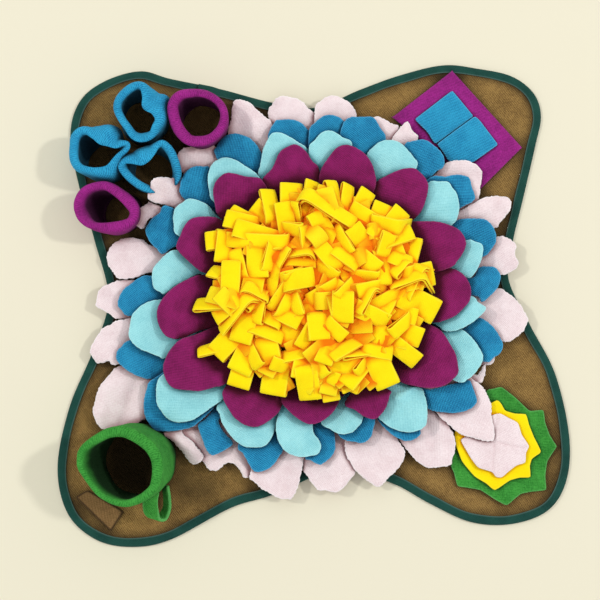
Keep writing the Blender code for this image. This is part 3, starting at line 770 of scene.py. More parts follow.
def straight_curve(corners, spacing):
    """A closed outline with straight sides and slightly rounded corners."""
    eased = []
    for before, here, after in zip(np.roll(corners, 1, axis=0), corners, np.roll(corners, -1, axis=0)):
        for away in (before - here, after - here):
            side = np.hypot(*away)
            eased.append(here + away / max(side, TINY) * min(ROUNDING, ROUNDED_SHARE * side))
    return closed_curve(eased, spacing, pull=STRAIGHT_PULL)


def lay_flat(name, node, slot, outline, above, spacing=3.2, folds=(), waves=0.35, curl=0.0, look=None):
    """Cuts a piece to its outline and lays it at a height above the base. curl lifts its edge."""
    flat, triangles, edge = cut_cloth(outline, spacing)
    rest = np.full(len(flat), BASE_TOP + above) + wander(flat, len(name) * 7, FLAT_SWELL, waves)
    rest += curl * np.exp(-edge / CURL_REACH)
    for ends, rise, half_width in folds:
        rest += ridge(flat, ends, rise, half_width)
    points = np.column_stack([flat, laid.lay(flat, triangles, rest, FLEECE_THICK, stiffness=2)])
    laid.add(points, triangles, FLEECE_THICK)
    middle = flat.mean(axis=0)
    side = outline[len(outline) // 8] - outline[0]
    side = side / np.hypot(*side)
    flat_map = np.column_stack([(flat - middle) @ side, (flat - middle) @ np.array([-side[1], side[0]])]) * MM
    piece = make_piece(name, [two_sided(points, triangles, flat_map, edge)], slot, node, look)
    say_laid(piece, np.ptp(flat_map, axis=0), cloth_area(flat, triangles), base)


PATCH_PIXELS = [(75.8, 496.8), (87.9, 489.9), (124, 511.4), (111.1, 531.2)]
SQUARE_PIXELS = [(452.2, 70.9), (521.9, 147.5), (479.9, 189.5), (392.4, 117.3)]
UPPER_FLAP_PIXELS = [
    (452.2, 90.6), (473.5, 116.3), (435.4, 144), (431.5, 139), (428.5, 133.2), (414.7, 119.3)]
LOWER_FLAP_PIXELS = [
    (474.3, 116.9), (479.6, 120.6), (498.2, 144.5), (473, 162.3), (448.3, 160.8), (444, 153.6),
    (436.7, 144.6)]
STAR_GREEN_PIXELS = [
    (486.9, 390), (491.7, 389), (501.2, 387.2), (514.6, 397.2), (529, 410.6), (542.9, 410.1), (544.3, 422.1),
    (549.1, 434.5), (555.8, 446.5), (547.2, 460.4), (544.8, 475.7), (545.3, 489.6), (531.9, 491.5),
    (520.4, 493.9), (506, 504.9), (493.6, 498.7), (480.2, 490), (467.8, 487.7), (457.2, 485.7),
    (453.4, 471.9), (451, 465.2), (458, 430), (472, 408)]
STAR_YELLOW_PIXELS = [
    (490.7, 403), (497.4, 400.1), (501.2, 403.9), (505.1, 410.6), (514.6, 413.5), (525.6, 414.4), (529, 425),
    (533.8, 437.4), (540.5, 451.8), (531.9, 458.5), (529.5, 466.1), (530, 477.1), (519.4, 477.6),
    (508.9, 480.5), (494.5, 490), (485.9, 483.3), (474.4, 476.2), (462, 461.3), (455.8, 446), (454.4, 432.2),
    (470, 414)]
STAR_PINK_PIXELS = [
    (499.3, 413.5), (508.9, 418.3), (517.5, 423.1), (521.3, 434.5), (528.5, 446), (525.6, 452.7),
    (524.7, 462.3), (516.6, 465.2), (508.9, 470.9), (501.2, 477.1), (495.5, 476.7), (491.7, 471.9),
    (478.3, 467.6), (471.6, 459.4), (465.8, 449.9), (460.6, 439.8), (468.7, 435), (478, 424), (490, 416)]
STAR_SEAMS_PIXELS = [[(497.4, 414.4), (493.1, 437.4), (494.1, 447), (492.6, 470.9)],
                     [(471.6, 437.4), (492.6, 440.3), (511.8, 446), (526.1, 447.9)]]
STAR_SEAM_DEPTHS = [(-2.4, 1.5), (-2.6, 6.0)]  # depth and half-width in mm, of the seam and of its hollow
PINK_STAR_SEEN_AT = 11.0
STAR_FOLDS = [  # pixels of both ends, height in mm, half-width in mm
    ((503, 482), (507, 500), 3.4, 3.5), ((541, 447), (555, 446), 2.6, 3.5),
    ((528, 420), (541, 411), -2.0, 3.5), ((538, 478), (545, 488), 2.4, 3.5)]

lay_flat("patch", "base_patch", "brown_fleece",
         straight_curve(on_mat(PATCH_PIXELS, height=4.0), spacing=2.6), above=1.4,
         spacing=2.0, waves=0.15, look="patch_fleece")
lay_flat("purple_square", "pocket_square", "cup_purple_fleece",
         straight_curve(on_mat(SQUARE_PIXELS, height=5.0), spacing=2.6), above=1.4)
for flap, flap_pixels in (("upper", UPPER_FLAP_PIXELS), ("lower", LOWER_FLAP_PIXELS)):
    lay_flat(flap + "_flap", "pocket_flap_" + flap, "cup_blue_fleece",
             straight_curve(on_mat(flap_pixels, height=8.0), spacing=2.6), above=4.6)
lay_flat("green_star", "star_green", "bright_green_fleece",
         closed_curve(on_mat(STAR_GREEN_PIXELS, height=5.0), spacing=2.4, pull=0.2), above=1.6, curl=2.2,
         waves=0.9, folds=[(on_mat(ends, 5.0), rise, half_width) for *ends, rise, half_width in STAR_FOLDS])
lay_flat("yellow_star", "star_yellow", "yellow_fleece",
         closed_curve(on_mat(STAR_YELLOW_PIXELS, height=8.0), spacing=2.4, pull=0.2), above=4.6, curl=1.0,
         waves=0.6)
lay_flat("pink_star", "star_pink", "pink_fleece",
         closed_curve(on_mat(STAR_PINK_PIXELS, PINK_STAR_SEEN_AT), spacing=2.2, pull=0.3), above=9.5,
         spacing=1.6, waves=0.3,
         folds=[(on_mat(seam, PINK_STAR_SEEN_AT), depth, half_width) for seam in STAR_SEAMS_PIXELS
                for depth, half_width in STAR_SEAM_DEPTHS])
print("patch, square, two flaps and three stars laid")

# %% [markdown]
# ## Four rings of petals
#
# The flower has four rings, pale pink outermost, then blue, aqua and purple. In each ring every second petal
# is sewn first and the others go over them. The list keeps that order. Each row has the direction in which
# the petal points, in degrees anticlockwise from +X, and its visible outline. The rest of the petal runs
# inwards, narrower, to the ring where it is sewn.

# %% Petal outlines
PINK_PETALS = [
    (98, [(268, 113), (272, 105), (277, 99), (285, 97), (297, 99), (303, 102), (308, 108), (318, 118)]),
    (68, [(373, 118), (383, 119), (390, 123), (399, 128)]),
    (37, [(437, 172), (443, 166), (448, 162), (455, 161), (465, 161), (475, 165), (481, 170), (482, 178),
          (480, 188), (479, 197), (471, 212)]),
    (11, [(497, 237), (505, 237), (512, 241), (516, 245), (515, 255), (518, 262), (516, 269), (510, 272),
          (503, 275)]),
    (338, [(483, 362), (494, 356), (493, 362), (488, 365)]),
    (307, [(438, 415), (445, 420), (450, 428), (454, 437), (455, 448), (452, 460), (450, 465), (440, 467),
          (430, 468), (420, 464), (412, 456), (406, 449), (400, 440)]),
    (274, [(303, 468), (307, 476), (313, 485), (318, 490), (325, 490), (335, 492), (340, 490), (347, 484),
          (352, 477), (356, 470)]),
    (242, [(179, 425), (189, 443), (199, 457), (204, 463), (210, 470), (218, 470), (225, 464), (232, 463),
          (240, 470), (245, 478), (254, 472), (251, 456), (247, 444)]),
    (207, [(117, 367), (112, 372), (105, 380), (99, 388), (96, 397), (94, 405), (93, 412), (96, 420),
          (101, 428), (110, 430), (120, 428), (128, 426), (140, 422)]),
    (183, [(120, 280), (112, 283), (105, 286), (99, 291), (97, 300), (96, 306), (102, 310), (110, 314),
          (118, 319)]),
    (156, [(153, 204), (147, 206), (140, 211), (138, 218), (137, 226), (144, 229), (152, 219)]),
    (132, [(216, 148), (205, 150), (190, 150), (182, 154), (177, 162), (181, 169), (184, 175)]),
    (84, [(315, 108), (320, 102), (327, 97), (335, 96.5), (342, 99), (350, 104), (357, 116)]),
    (60, [(393, 137), (400, 128), (407, 122), (412, 131), (418, 139)]),
    (25, [(480, 200), (490, 197), (500, 196), (507, 197), (511, 202), (510, 210), (505, 217), (500, 223),
          (495, 228)]),
    (353, [(498, 288), (505, 291), (513, 297), (520, 305), (525, 313), (528, 319), (525, 328), (520, 334),
          (512, 340), (503, 342)]),
    (331, [(475, 375), (484, 364), (485, 372), (483, 380), (479, 383)]),
    (290, [(346, 455), (350, 462), (355, 470), (362, 477), (370, 483), (378, 487), (383, 484), (388, 478),
          (395, 472), (402, 463), (405, 452), (400, 443)]),
    (257, [(250, 475), (255, 482), (262, 489), (270, 493), (278, 498), (287, 499), (292, 498), (298, 487),
          (300, 478), (303, 465)]),
    (228, [(165, 432), (172, 440), (181, 450), (193, 464), (204, 457), (194, 443), (183, 430)]),
    (195, [(118, 321), (110, 325), (103, 328), (98, 335), (92, 345), (90, 352), (93, 358), (97, 363),
          (103, 363), (110, 361), (116, 365)]),
    (169, [(150, 245), (143, 240), (135, 238), (125, 238), (115, 242), (110, 248), (107, 256), (108, 265),
          (113, 272), (119, 279), (135, 278), (152, 272)]),
    (147, [(183, 180), (175, 181), (163, 182), (156, 185), (153, 193), (151, 203), (160, 206), (175, 209)]),
    (111, [(228, 134), (231, 119), (233, 105), (236, 101), (243, 101), (250, 104), (257, 110), (265, 117),
          (272, 124)]),
    (324, [(470, 378), (477, 383), (483, 388), (488, 397), (491, 405), (491, 415), (493, 440), (465, 436),
          (452, 428)])]
BLUE_PETALS = [
    (100, [(268, 138), (275, 122), (280, 120), (290, 120), (300, 123), (308, 130), (311, 134)]),
    (52, [(405, 144), (410, 142), (424, 140), (432, 145), (440, 152), (444, 160), (443, 168), (436, 172)]),
    (19, [(457, 220), (465, 218.5), (480, 219), (488, 222), (494, 230), (496, 240), (493, 247), (483, 257)]),
    (343, [(460, 329), (470, 324), (478, 318), (485, 320), (493, 327), (500, 337), (503, 345), (500, 353),
          (493, 358), (485, 362)]),
    (303, [(378, 420), (390, 433), (400, 439), (406, 441), (415, 439), (420, 430)]),
    (271, [(335, 438), (335, 450), (330, 458), (322, 464), (318, 464), (310, 460), (305, 457)]),
    (235, [(206, 418), (198, 425), (203, 440), (207, 450), (212, 455), (217, 454), (225, 450), (233, 443),
          (224, 432), (220, 418)]),
    (199, [(130, 340), (122, 346), (117, 352), (117, 360), (122, 366), (130, 372), (140, 377), (150, 379),
          (162, 375)]),
    (160, [(168, 207), (160, 213), (152, 219), (147, 227), (146, 233), (150, 242), (157, 249), (163, 254),
          (178, 246)]),
    (119, [(215, 155), (217, 147), (223, 139), (230, 135), (238, 134), (247, 137), (253, 141), (260, 150)]),
    (84, [(309, 132), (315, 123), (322, 117), (328, 115.5), (337, 117), (343, 121), (345, 127)]),
    (38, [(430, 178), (445, 177), (455, 175), (465, 176), (470, 178), (472, 187), (475, 197), (472, 202),
          (462, 207)]),
    (3, [(472, 278), (480, 267), (494, 267), (500, 273), (500, 280), (497, 288), (490, 296), (482, 302),
          (476, 296)]),
    (321, [(425, 388), (452, 384), (468, 380), (473, 388), (477, 400), (473, 407), (465, 411), (455, 413),
          (440, 412), (427, 408)]),
    (286, [(338, 434), (345, 440), (355, 442), (362, 443), (370, 438), (373, 430), (375, 419)]),
    (250, [(238, 446), (243, 453), (248, 462), (253, 470), (258, 472), (268, 469), (275, 463), (280, 455),
          (283, 450)]),
    (218, [(152, 380), (147, 388), (144, 400), (144, 412), (147, 420), (155, 430), (162, 431), (175, 431),
          (185, 429), (197, 424)]),
    (183, [(155, 276), (145, 275), (138, 278), (130, 284), (123, 290), (119, 298), (118, 305), (122, 311),
          (130, 316)]),
    (137, [(182, 197), (181, 185), (184, 176), (190, 170), (197, 167), (205, 167), (210, 168)]),
    (73, [(342, 127), (350, 118), (357, 117), (370, 117), (375, 120), (380, 128), (386, 140)])]
AQUA_PETALS = [
    (104, [(258, 175), (260, 165), (263, 150), (268, 140), (272, 134), (280, 133), (287, 136), (297, 142),
          (308, 150)]),
    (60, [(367, 154), (372, 148), (380, 142), (390, 140.5), (400, 143), (408, 150), (414, 157), (417, 167)]),
    (13, [(466, 240), (475, 242), (482, 246), (482, 255), (480, 263), (475, 273), (469, 278), (460, 273),
          (452, 268)]),
    (336, [(445, 331), (460, 329), (468, 334), (475, 342), (480, 350), (483, 356), (481, 364), (475, 373),
          (468, 379), (458, 382)]),
    (281, [(321, 423), (330, 429), (340, 434), (350, 433), (356, 429), (363, 418)]),
    (241, [(217, 405), (220, 415), (222, 423), (228, 432), (235, 440), (243, 446), (250, 447.5), (262, 447),
          (268, 443), (272, 437), (276, 425), (279, 413)]),
    (194, [(163, 299), (150, 301), (140, 307), (132, 316), (130, 325), (129, 335), (132, 342), (140, 349),
          (150, 353), (160, 357), (166, 358)]),
    (150, [(216, 214), (208, 205), (200, 201), (190, 199), (183, 203), (176, 208), (173, 217), (174, 225),
          (177, 235)]),
    (85, [(309, 148), (315, 140), (321, 133), (328, 131), (335, 133), (342, 138), (352, 145)]),
    (36, [(428, 183), (437, 181.5), (448, 182), (452, 187), (457, 195), (459, 205), (458, 215), (452, 225)]),
    (351, [(472, 296), (478, 302), (486, 308), (478, 318), (470, 324), (458, 330), (445, 331), (436, 324)]),
    (306, [(402, 380), (410, 386), (422, 388), (425, 395), (427, 405), (427, 418), (424, 427), (412, 432),
          (400, 431), (390, 427), (378, 417)]),
    (262, [(277, 418), (276, 430), (278, 440), (283, 449), (290, 454), (300, 457), (310, 456), (318, 454),
          (321, 447), (319, 440), (313, 430)]),
    (219, [(165, 373), (158, 380), (156, 392), (157, 403), (161, 410), (167, 418), (175, 422), (185, 422),
          (195, 419), (205, 412), (215, 405), (222, 400)]),
    (173, [(178, 250), (168, 253), (160, 260), (154, 268), (152, 278), (154, 288), (160, 292), (165, 294),
          (175, 287), (200, 273)]),
    (128, [(258, 175), (245, 166), (235, 160), (225, 157), (217, 160), (211, 166), (208, 178), (209, 190),
          (212, 200)])]
PURPLE_PETALS = [
    (103, [(262, 180), (272, 168), (280, 152), (290, 145.5), (297, 144.5), (305, 150), (312, 160),
          (319, 168)]),
    (49, [(376, 182), (385, 176), (400, 170), (413, 168.5), (420, 173), (427, 182), (428, 190), (425, 203),
          (420, 213), (410, 222)]),
    (358, [(437, 270), (450, 268), (460, 272), (467, 280), (471, 290), (470, 300), (464, 308), (455, 316),
          (445, 320), (436, 322)]),
    (295, [(342, 397), (350, 388), (365, 380), (390, 390), (390, 395), (387, 405), (383, 412), (375, 419),
          (365, 417), (355, 410), (345, 402)]),
    (239, [(224, 388), (223, 398), (228, 408), (235, 418), (245, 425), (255, 427), (262, 425), (270, 420),
          (278, 413), (282, 405)]),
    (188, [(200, 274), (185, 280), (172, 288), (163, 298), (158, 308), (157, 318), (160, 328), (166, 336),
          (175, 339), (185, 337), (200, 330)]),
    (130, [(218, 215), (215, 205), (213, 192), (215, 183), (220, 177), (227, 173.5), (235, 174), (245, 176),
          (257, 177), (263, 181)]),
    (75, [(320, 172), (328, 158), (337, 148), (347, 145), (360, 150), (368, 158), (374, 170), (376, 185)]),
    (22, [(405, 222), (425, 221), (440, 222), (453, 226), (461, 232), (466, 243), (463, 253), (458, 260),
          (450, 268)]),
    (327, [(434, 326), (443, 332), (450, 343), (455, 353), (458, 365), (458, 373), (452, 380), (443, 386),
          (430, 388), (415, 386), (400, 381)]),
    (267, [(281, 400), (288, 410), (297, 418), (308, 424), (318, 423), (328, 417), (336, 408), (340, 398),
          (339, 388)]),
    (212, [(196, 334), (180, 340), (170, 350), (165, 360), (163, 368), (166, 380), (173, 388), (185, 390),
          (200, 391), (215, 387), (225, 384)]),
    (157, [(217, 218), (200, 217), (190, 220), (184, 227), (180, 236), (176, 246), (180, 253), (187, 260),
          (195, 267), (203, 272)])]
print(len(PINK_PETALS) + len(BLUE_PETALS) + len(AQUA_PETALS) + len(PURPLE_PETALS), "petals traced")

# %% [markdown]
# A petal rises from its root to its tip, droops a little at its sides, and has folds that fan out from where it
# is gathered. A few petals have a fold or a lift of their own, because they lie against their neighbours.

# %% Rings
FLOWER_CENTRE = np.array([4.0, 8.0])
ROOT_WIDTH = 0.42  # of the petal's width
LEAST_WIDTH, LEAST_SIDE = 30.0, 12.0  # mm, of a whole petal and of its hidden part to each side
NARROWING = 0.86
PETAL_START = BASE_TOP + 1.3
PETAL_RISE = 2.2  # power of the rise to the tip
PETAL_DROOP = 1.6
PETAL_SWELLS = [(0, 46.0, 2.1), (50, 19.0, 0.5)]  # added to the seed, length and height in mm
FAN_END, FAN_POWER = 1.15, 0.8  # how the fan of folds fades to the tip
PETAL_SPACING, PETAL_EDGE_SPACING = 3.6, 1.8
PETAL_FOLDS = {  # petal: pixels of both ends, height in mm, half-width in mm
    ("purple", 4): [((381, 384), (379, 414), 3.0, 4.0)],
    ("aqua", 11): [((458, 315), (481, 312), 1.6, 3.0)],
    ("aqua", 12): [((398, 398), (416, 386), 4.2, 3.5), ((395, 404), (404, 411), -2.5, 4.0)],
    ("blue", 13): [((471, 290), (493, 269), 4.0, 3.5)],
    ("blue", 7): [((205, 446), (222, 428), 2.5, 3.5)],
    ("pink", 15): [((470, 213), (480, 206), 2.0, 3.0)],
    ("pink", 6): [((425, 420), (432, 444), -4.0, 5.0), ((414, 440), (424, 455), 1.8, 4.0)],
    ("pink", 8): [((234, 448), (247, 476), 3.2, 3.5), ((227, 456), (208, 467), 2.6, 4.0)],
    ("pink", 20): [((172, 432), (199, 461), 3.4, 5.0)],
    ("pink", 9): [((136, 382), (123, 424), -3.5, 5.0), ((108, 385), (101, 415), 1.5, 6.0)]}
PETAL_LIFTS = {("pink", 23): 24.0, ("pink", 12): 14.0, ("pink", 11): 9.0}  # tips that lie on or against cups
PLEATS = {"pink": 1.1, "blue": 0.9, "aqua": 0.8, "purple": 1.3}  # mm, of the folds that fan out from the root
PLEAT_COUNTS = (1.3, 2.4)
FRAYS = {"pink": 0.55, "blue": 0.25, "aqua": 0.25, "purple": 0.15}  # how ragged the cut edge is, in mm

folds_dice = np.random.default_rng(5)


class Ring:
    """A ring of petals: where they are sewn, how high their tips are, and how they are finished."""

    def __init__(self, colour, rows, root, tip, seen_at, slot):
        self.colour, self.rows, self.slot = colour, rows, slot
        self.root, self.tip, self.seen_at = root, tip, seen_at
        self.cuts = []  # width, length and area of each petal, in mm and square mm

    def outline(self, number, ahead, left):
        """The petal's outline, how far out its tip is, and its width."""
        traced = on_mat(self.rows[number - 1][1], self.seen_at)
        out, side = (traced - FLOWER_CENTRE) @ ahead, (traced - FLOWER_CENTRE) @ left
        if side[0] > side[-1]:
            traced, out, side = traced[::-1], out[::-1], side[::-1]
        width = max(np.ptp(side), LEAST_WIDTH)
        right = min(NARROWING * side[0], -LEAST_SIDE)
        other = max(NARROWING * side[-1], LEAST_SIDE)
        corners = [(self.root, -0.5 * ROOT_WIDTH * width), (0.5 * (self.root + out[0]), right),
                   (0.5 * (self.root + out[-1]), other), (self.root, 0.5 * ROOT_WIDTH * width)]
        hidden = [FLOWER_CENTRE + a * ahead + b * left for a, b in corners]
        outline = closed_curve(np.vstack([hidden[:2], traced, hidden[2:]]), PETAL_EDGE_SPACING)
        ragged = np.random.default_rng(7 * number + int(self.root)).uniform(-1, 1, len(outline))
        return outline + outward(outline) * (FRAYS[self.colour] * ragged)[:, None], out.max(), width

    def petal(self, number):
        """Cuts a petal, lays it over the ones before and gives its sheet."""
        aim = math.radians(self.rows[number - 1][0])
        ahead = np.array([math.cos(aim), math.sin(aim)])
        left = np.array([-ahead[1], ahead[0]])
        outline, tip_out, width = self.outline(number, ahead, left)
        flat, triangles, edge = cut_cloth(outline, PETAL_SPACING)
        along, across = (flat - FLOWER_CENTRE) @ ahead - self.root, (flat - FLOWER_CENTRE) @ left
        share = np.clip(along / max(tip_out - self.root, 1.0), 0.0, 1.0)
        rest = PETAL_START + (self.tip - PETAL_START) * (1 - (1 - share) ** PETAL_RISE)
        rest -= PETAL_DROOP * (2 * np.abs(across) / width) ** 2 * share
        for later, length, height in PETAL_SWELLS:
            rest += wander(flat, 100 * int(self.root) + number + later, length, height) * share
        fan = across / (0.5 * width * (ROOT_WIDTH + (1 - ROOT_WIDTH) * np.minimum(2 * share, 1)))
        count, phase = folds_dice.uniform(*PLEAT_COUNTS), folds_dice.uniform(0, 2 * math.pi)
        fading = np.clip(FAN_END - share, 0, 1) ** FAN_POWER
        rest += PLEATS[self.colour] * np.sin(math.pi * count * fan + phase) * fading
        rest += PETAL_LIFTS.get((self.colour, number), 0.0) * share ** 2
        for start, end, height, half_width in PETAL_FOLDS.get((self.colour, number), ()):
            rest += ridge(flat, on_mat([start, end], self.seen_at), height, half_width)
        points = np.column_stack([flat, laid.lay(flat, triangles, rest, FLEECE_THICK)])
        laid.add(points, triangles, FLEECE_THICK)
        self.cuts.append((width, np.ptp(along), cloth_area(flat, triangles)))
        return two_sided(points, triangles, np.column_stack([across, along]) * MM, edge)


RINGS = [  # distance out of the seam, height of the tips, height at which the outlines are seen, in mm
    Ring("pink", PINK_PETALS, 150.0, 15.0, 13.0, "pink_fleece"),
    Ring("blue", BLUE_PETALS, 125.0, 23.0, 21.0, "petal_blue_fleece"),
    Ring("aqua", AQUA_PETALS, 105.0, 30.0, 28.0, "aqua_fleece"),
    Ring("purple", PURPLE_PETALS, 85.0, 37.0, 36.0, "wine_fleece")]
for ring in RINGS:
    sheets = [ring.petal(number) for number in range(1, len(ring.rows) + 1)]
    cuts = np.array(ring.cuts)
    if ring.colour in ("blue", "aqua"):
        piece = make_piece(ring.colour + "_ring", sheets, ring.slot, ring.colour + "_petals")
        say_laid(piece, (cuts[:, 0].max() * MM, cuts[:, 1].sum() * MM), cuts[:, 2].sum(), base)
    else:
        for number, (sheet, cut) in enumerate(zip(sheets, cuts), 1):
            name = f"{ring.colour}_petal_{number:02d}"
            piece = make_piece(name + "_cloth", [sheet], ring.slot, name)
            say_laid(piece, np.ptp(sheet.flat_map, axis=0), cut[2], base)
    print(ring.colour, "petals", len(sheets), "mean width", round(cuts[:, 0].mean(), 1),
          "mean length", round(cuts[:, 1].mean(), 1), "mm")

# %% [markdown]
# ## Cups and the mug
#
# The soft toys at the left are open tubes of fleece, turned over at the rim so that it is thick and round, and
# pressed out of shape by handling. Each is a loft between two closed curves, the crest of its rim, traced from
# the photograph, and the circle on which it is sewn down. The wall is drawn outside and inside of that loft,
# and where two parts of the rim come close together the wall gets thinner, as pressed cloth does. The bodies
# of the small cups are wider than their rims, so their widest outline is traced too.

# %% Cup shapes
CUP_FOOT_Z = BASE_TOP + 0.4
WALL_PROFILE = [  # depth below the crest in mm, share of the rim's half-thickness
    (0.0, 0.0), (0.3, 0.36), (1.1, 0.70), (2.5, 0.92), (4.6, 1.0), (8.0, 0.92), (13.0, 0.8), (19.0, 0.7),
    (27.0, 0.62)]
CUP_STEPS_BELOW = (0.62, 0.74, 0.86, 0.95, 1.0)
UPPER_PART = 0.55  # of the height, where the wall follows the profile
LOWER_PART, LOWER_SHARE = 0.4, 0.6  # of the height, where the wall thins to its foot, and its share there
BODY_SHARE = 0.6  # of the height, where the body is widest
BODY_POWER = 0.75
BODY_INSET = 4.3
FOOT_EASE = 1.15  # power of the way from crest to foot
INNER_INSET, INNER_PULL = 2.6, 0.25  # how the inside lies within the outside, at the foot and at the body
SEEN_BELOW = 2.0
CREST_SPACING = 1.9
CREST_WAVES = [(0.7, 9.0), (0.4, 4.1)]  # height and length in mm, along the rim
BULGE, INNER_BULGE = 0.7, -0.15  # mm, and the share of it on the inside
WAVE, WAVE_LENGTH, WAVE_DEPTH = 0.5, 5.3, 11.0  # of the wall, in mm
ROOM_SHARE = 0.40  # of the room up to another part of the rim that one wall may take
NEIGHBOURS, FACING = 5, 0.45  # what counts as another part of the rim, in points and as a cosine
OPEN_ROOM = 99.0  # mm, where there is no other part
WHOLE_STITCHES = 44.0  # mm after which both rows of stitches repeat
NO_EDGE = 0.02  # m from a cut edge, for a wall that shows none


class Cup:
    """A fleece cup: where it is sewn down, the crest of its rim and the widest outline of its body.

    low_side and thick_side are a direction in degrees and how many mm lower or thicker the rim is there.
    """

    def __init__(self, name, slot, foot, radius, height, crest_pixels, half_rim, low_side=(0, 0),
                 thick_side=(0, 0), body_pixels=None):
        self.name, self.slot, self.foot, self.radius = name, slot, np.array(foot, float), radius
        self.height, self.half_rim, self.low_side, self.thick_side = height, half_rim, low_side, thick_side
        self.crest = closed_curve(on_mat(crest_pixels, height - SEEN_BELOW), CREST_SPACING)
        self.body = None if body_pixels is None else on_mat(body_pixels, BODY_SHARE * height)

    def free_room(self, normal, sign):
        """How far the wall may go out, or in where sign is -1, before it meets another part of the rim."""
        count = len(self.crest)
        room = np.full(count, OPEN_ROOM)
        for k in range(count):
            apart = np.abs(np.arange(count) - k)
            away = self.crest - self.crest[k]
            distance = lengths(away)
            facing = (away @ normal[k]) / np.maximum(distance, TINY)
            others = (np.minimum(apart, count - apart) > NEIGHBOURS) & (sign * facing > FACING)
            if others.any():
                room[k] = distance[others].min()
        return room

    def body_line(self, around):
        """The widest part of the wall, in the directions around the cup."""
        centre = self.body.mean(axis=0)
        away = self.body - centre
        bearing = np.arctan2(away[:, 1], away[:, 0])
        order = np.argsort(bearing)
        turned = np.arctan2(np.sin(around), np.cos(around))
        distance = np.interp(turned, bearing[order], lengths(away[order]) - BODY_INSET, period=2 * math.pi)
        return centre + softened(distance, 3)[:, None] * np.column_stack([np.cos(around), np.sin(around)])

    def rings(self):
        """Rows of points round the wall, outside and then inside, each with its depth below the crest."""
        count, centre = len(self.crest), self.crest.mean(axis=0)
        facing = np.arctan2(*(self.crest - centre).T[::-1])
        angle, even = np.unwrap(facing), 2 * math.pi * np.arange(count) / count
        phase = math.atan2(np.sin(angle - even).mean(), np.cos(angle - even).mean())
        around = 0.5 * (even + phase + angle)
        circle = np.column_stack([np.cos(around), np.sin(around)])
        normal = outward(self.crest)
        for _ in range(2):
            normal = unit(normal + 0.5 * (np.roll(normal, 1, axis=0) + np.roll(normal, -1, axis=0)))
        half = self.half_rim + self.thick_side[1] * np.cos(facing - math.radians(self.thick_side[0]))
        lowered = np.clip(np.cos(facing - math.radians(self.low_side[0])), 0, 1) ** 2
        top = self.height - self.low_side[1] * lowered
        walked = CREST_SPACING * np.arange(count)
        (rise, length), (small_rise, small_length) = CREST_WAVES
        top = top + (rise * np.sin(walked / length + self.radius) + small_rise * np.sin(walked / small_length))
        tall = top - CUP_FOOT_Z
        levels = [(np.full(count, depth), share) for depth, share in WALL_PROFILE
                  if depth < UPPER_PART * tall.min()]
        levels += [(tall * step, LOWER_SHARE * (1 - step) / LOWER_PART) for step in CUP_STEPS_BELOW
                   if (tall * step).min() > levels[-1][0].max() + 1.0]
        for outside, sign in ((True, 1.0), (False, -1.0)):
            limit = softened(np.minimum(half, ROOM_SHARE * self.free_room(normal, sign)), 2)
            foot = self.foot + circle * (self.radius if outside else self.radius - INNER_INSET)
            for depth, share in levels:
                down = (depth / tall)[:, None]
                bulge = BULGE * np.sin(math.pi * np.clip(down[:, 0], 0, 1)) * (1.0 if outside else INNER_BULGE)
                line = self.crest * (1 - down ** FOOT_EASE) + foot * down ** FOOT_EASE
                if self.body is not None:
                    widest = self.body_line(around)
                    if not outside:
                        widest = INNER_PULL * foot + (1 - INNER_PULL) * widest
                    swell = np.sin(math.pi * np.clip(down, 0, 1) ** BODY_POWER)
                    line = line * (1 - swell) + widest * swell
                wave = WAVE * np.sin(walked / WAVE_LENGTH + depth / WAVE_DEPTH) * np.clip(down * 3, 0, 1)[:, 0]
                xy = line + normal * (sign * share * limit + bulge + wave)[:, None]
                yield outside, depth, np.column_stack([xy, top - depth])

    def make(self):
        rows = list(self.rings())
        outer = [(depth, points) for outside, depth, points in rows if outside]
        inner = [(-depth, points) for outside, depth, points in rows if not outside]
        rows, count = outer[::-1] + inner[1:], len(self.crest)
        round_trip = WHOLE_STITCHES * max(round(CREST_SPACING * count / WHOLE_STITCHES), 1)
        flat_map = strip_map(round_trip * np.arange(count) / count, np.array([depth for depth, _ in rows]))
        points = np.vstack([points for _, points in rows])
        wall = Sheet(points, tube(len(rows), count, closed=True), flat_map, np.full(len(points), NO_EDGE))
        piece = make_piece(self.name + "_wall", [wall], self.slot, self.name, round_trip=round_trip * MM)
        turn_outwards(piece)
        return piece


# %% Cup outlines
BLUE_TOP_CREST = [
    (138.1, 85.9), (130, 89.9), (122.6, 96.8), (118, 104.8), (118, 112.9), (122.6, 122.1), (127.7, 129),
    (132.3, 137), (139.2, 141), (147.2, 139.9), (151.8, 134.7), (153.6, 127.8), (156.4, 120.9),
    (151.8, 113.5), (145, 110.6), (142.1, 106), (143.2, 98), (142.1, 89.9)]
BLUE_LEFT_CREST = [
    (80.4, 132.2), (87, 132.4), (93.9, 138.7), (100.2, 145), (107.6, 146.7), (115.1, 147.9), (122.6, 145),
    (128.9, 143.9), (128.9, 148.5), (120.8, 154.2), (114, 160), (107.1, 166.3), (97.9, 169), (88.6, 169.2),
    (80.6, 167.4), (75.6, 161.8), (74.4, 153.1), (75.4, 144.4), (77.4, 136.8)]
BLUE_RIGHT_CREST = [
    (120.7, 167.2), (125.4, 162.3), (134.5, 163.6), (142.8, 165.4), (149.7, 161.3), (154, 155.2),
    (157.2, 148), (162.7, 143.3), (167.6, 146.5), (172, 152.7), (175.3, 161), (177.2, 170.1), (175.6, 177),
    (169.5, 181.8), (160.5, 185.8), (151.1, 189.2), (142.8, 187.8), (132.8, 181), (124.8, 174)]
BLUE_TOP_BODY = [
    (137.8, 84.5), (149.4, 87), (161, 92), (171.5, 99), (171.5, 111.2), (169, 124.5), (161, 135.5),
    (151, 140.5), (141.1, 141.5), (134.5, 138.5), (127.8, 130.3), (120.4, 119.5), (116, 109.6), (118.5, 96.8),
    (126.2, 89)]
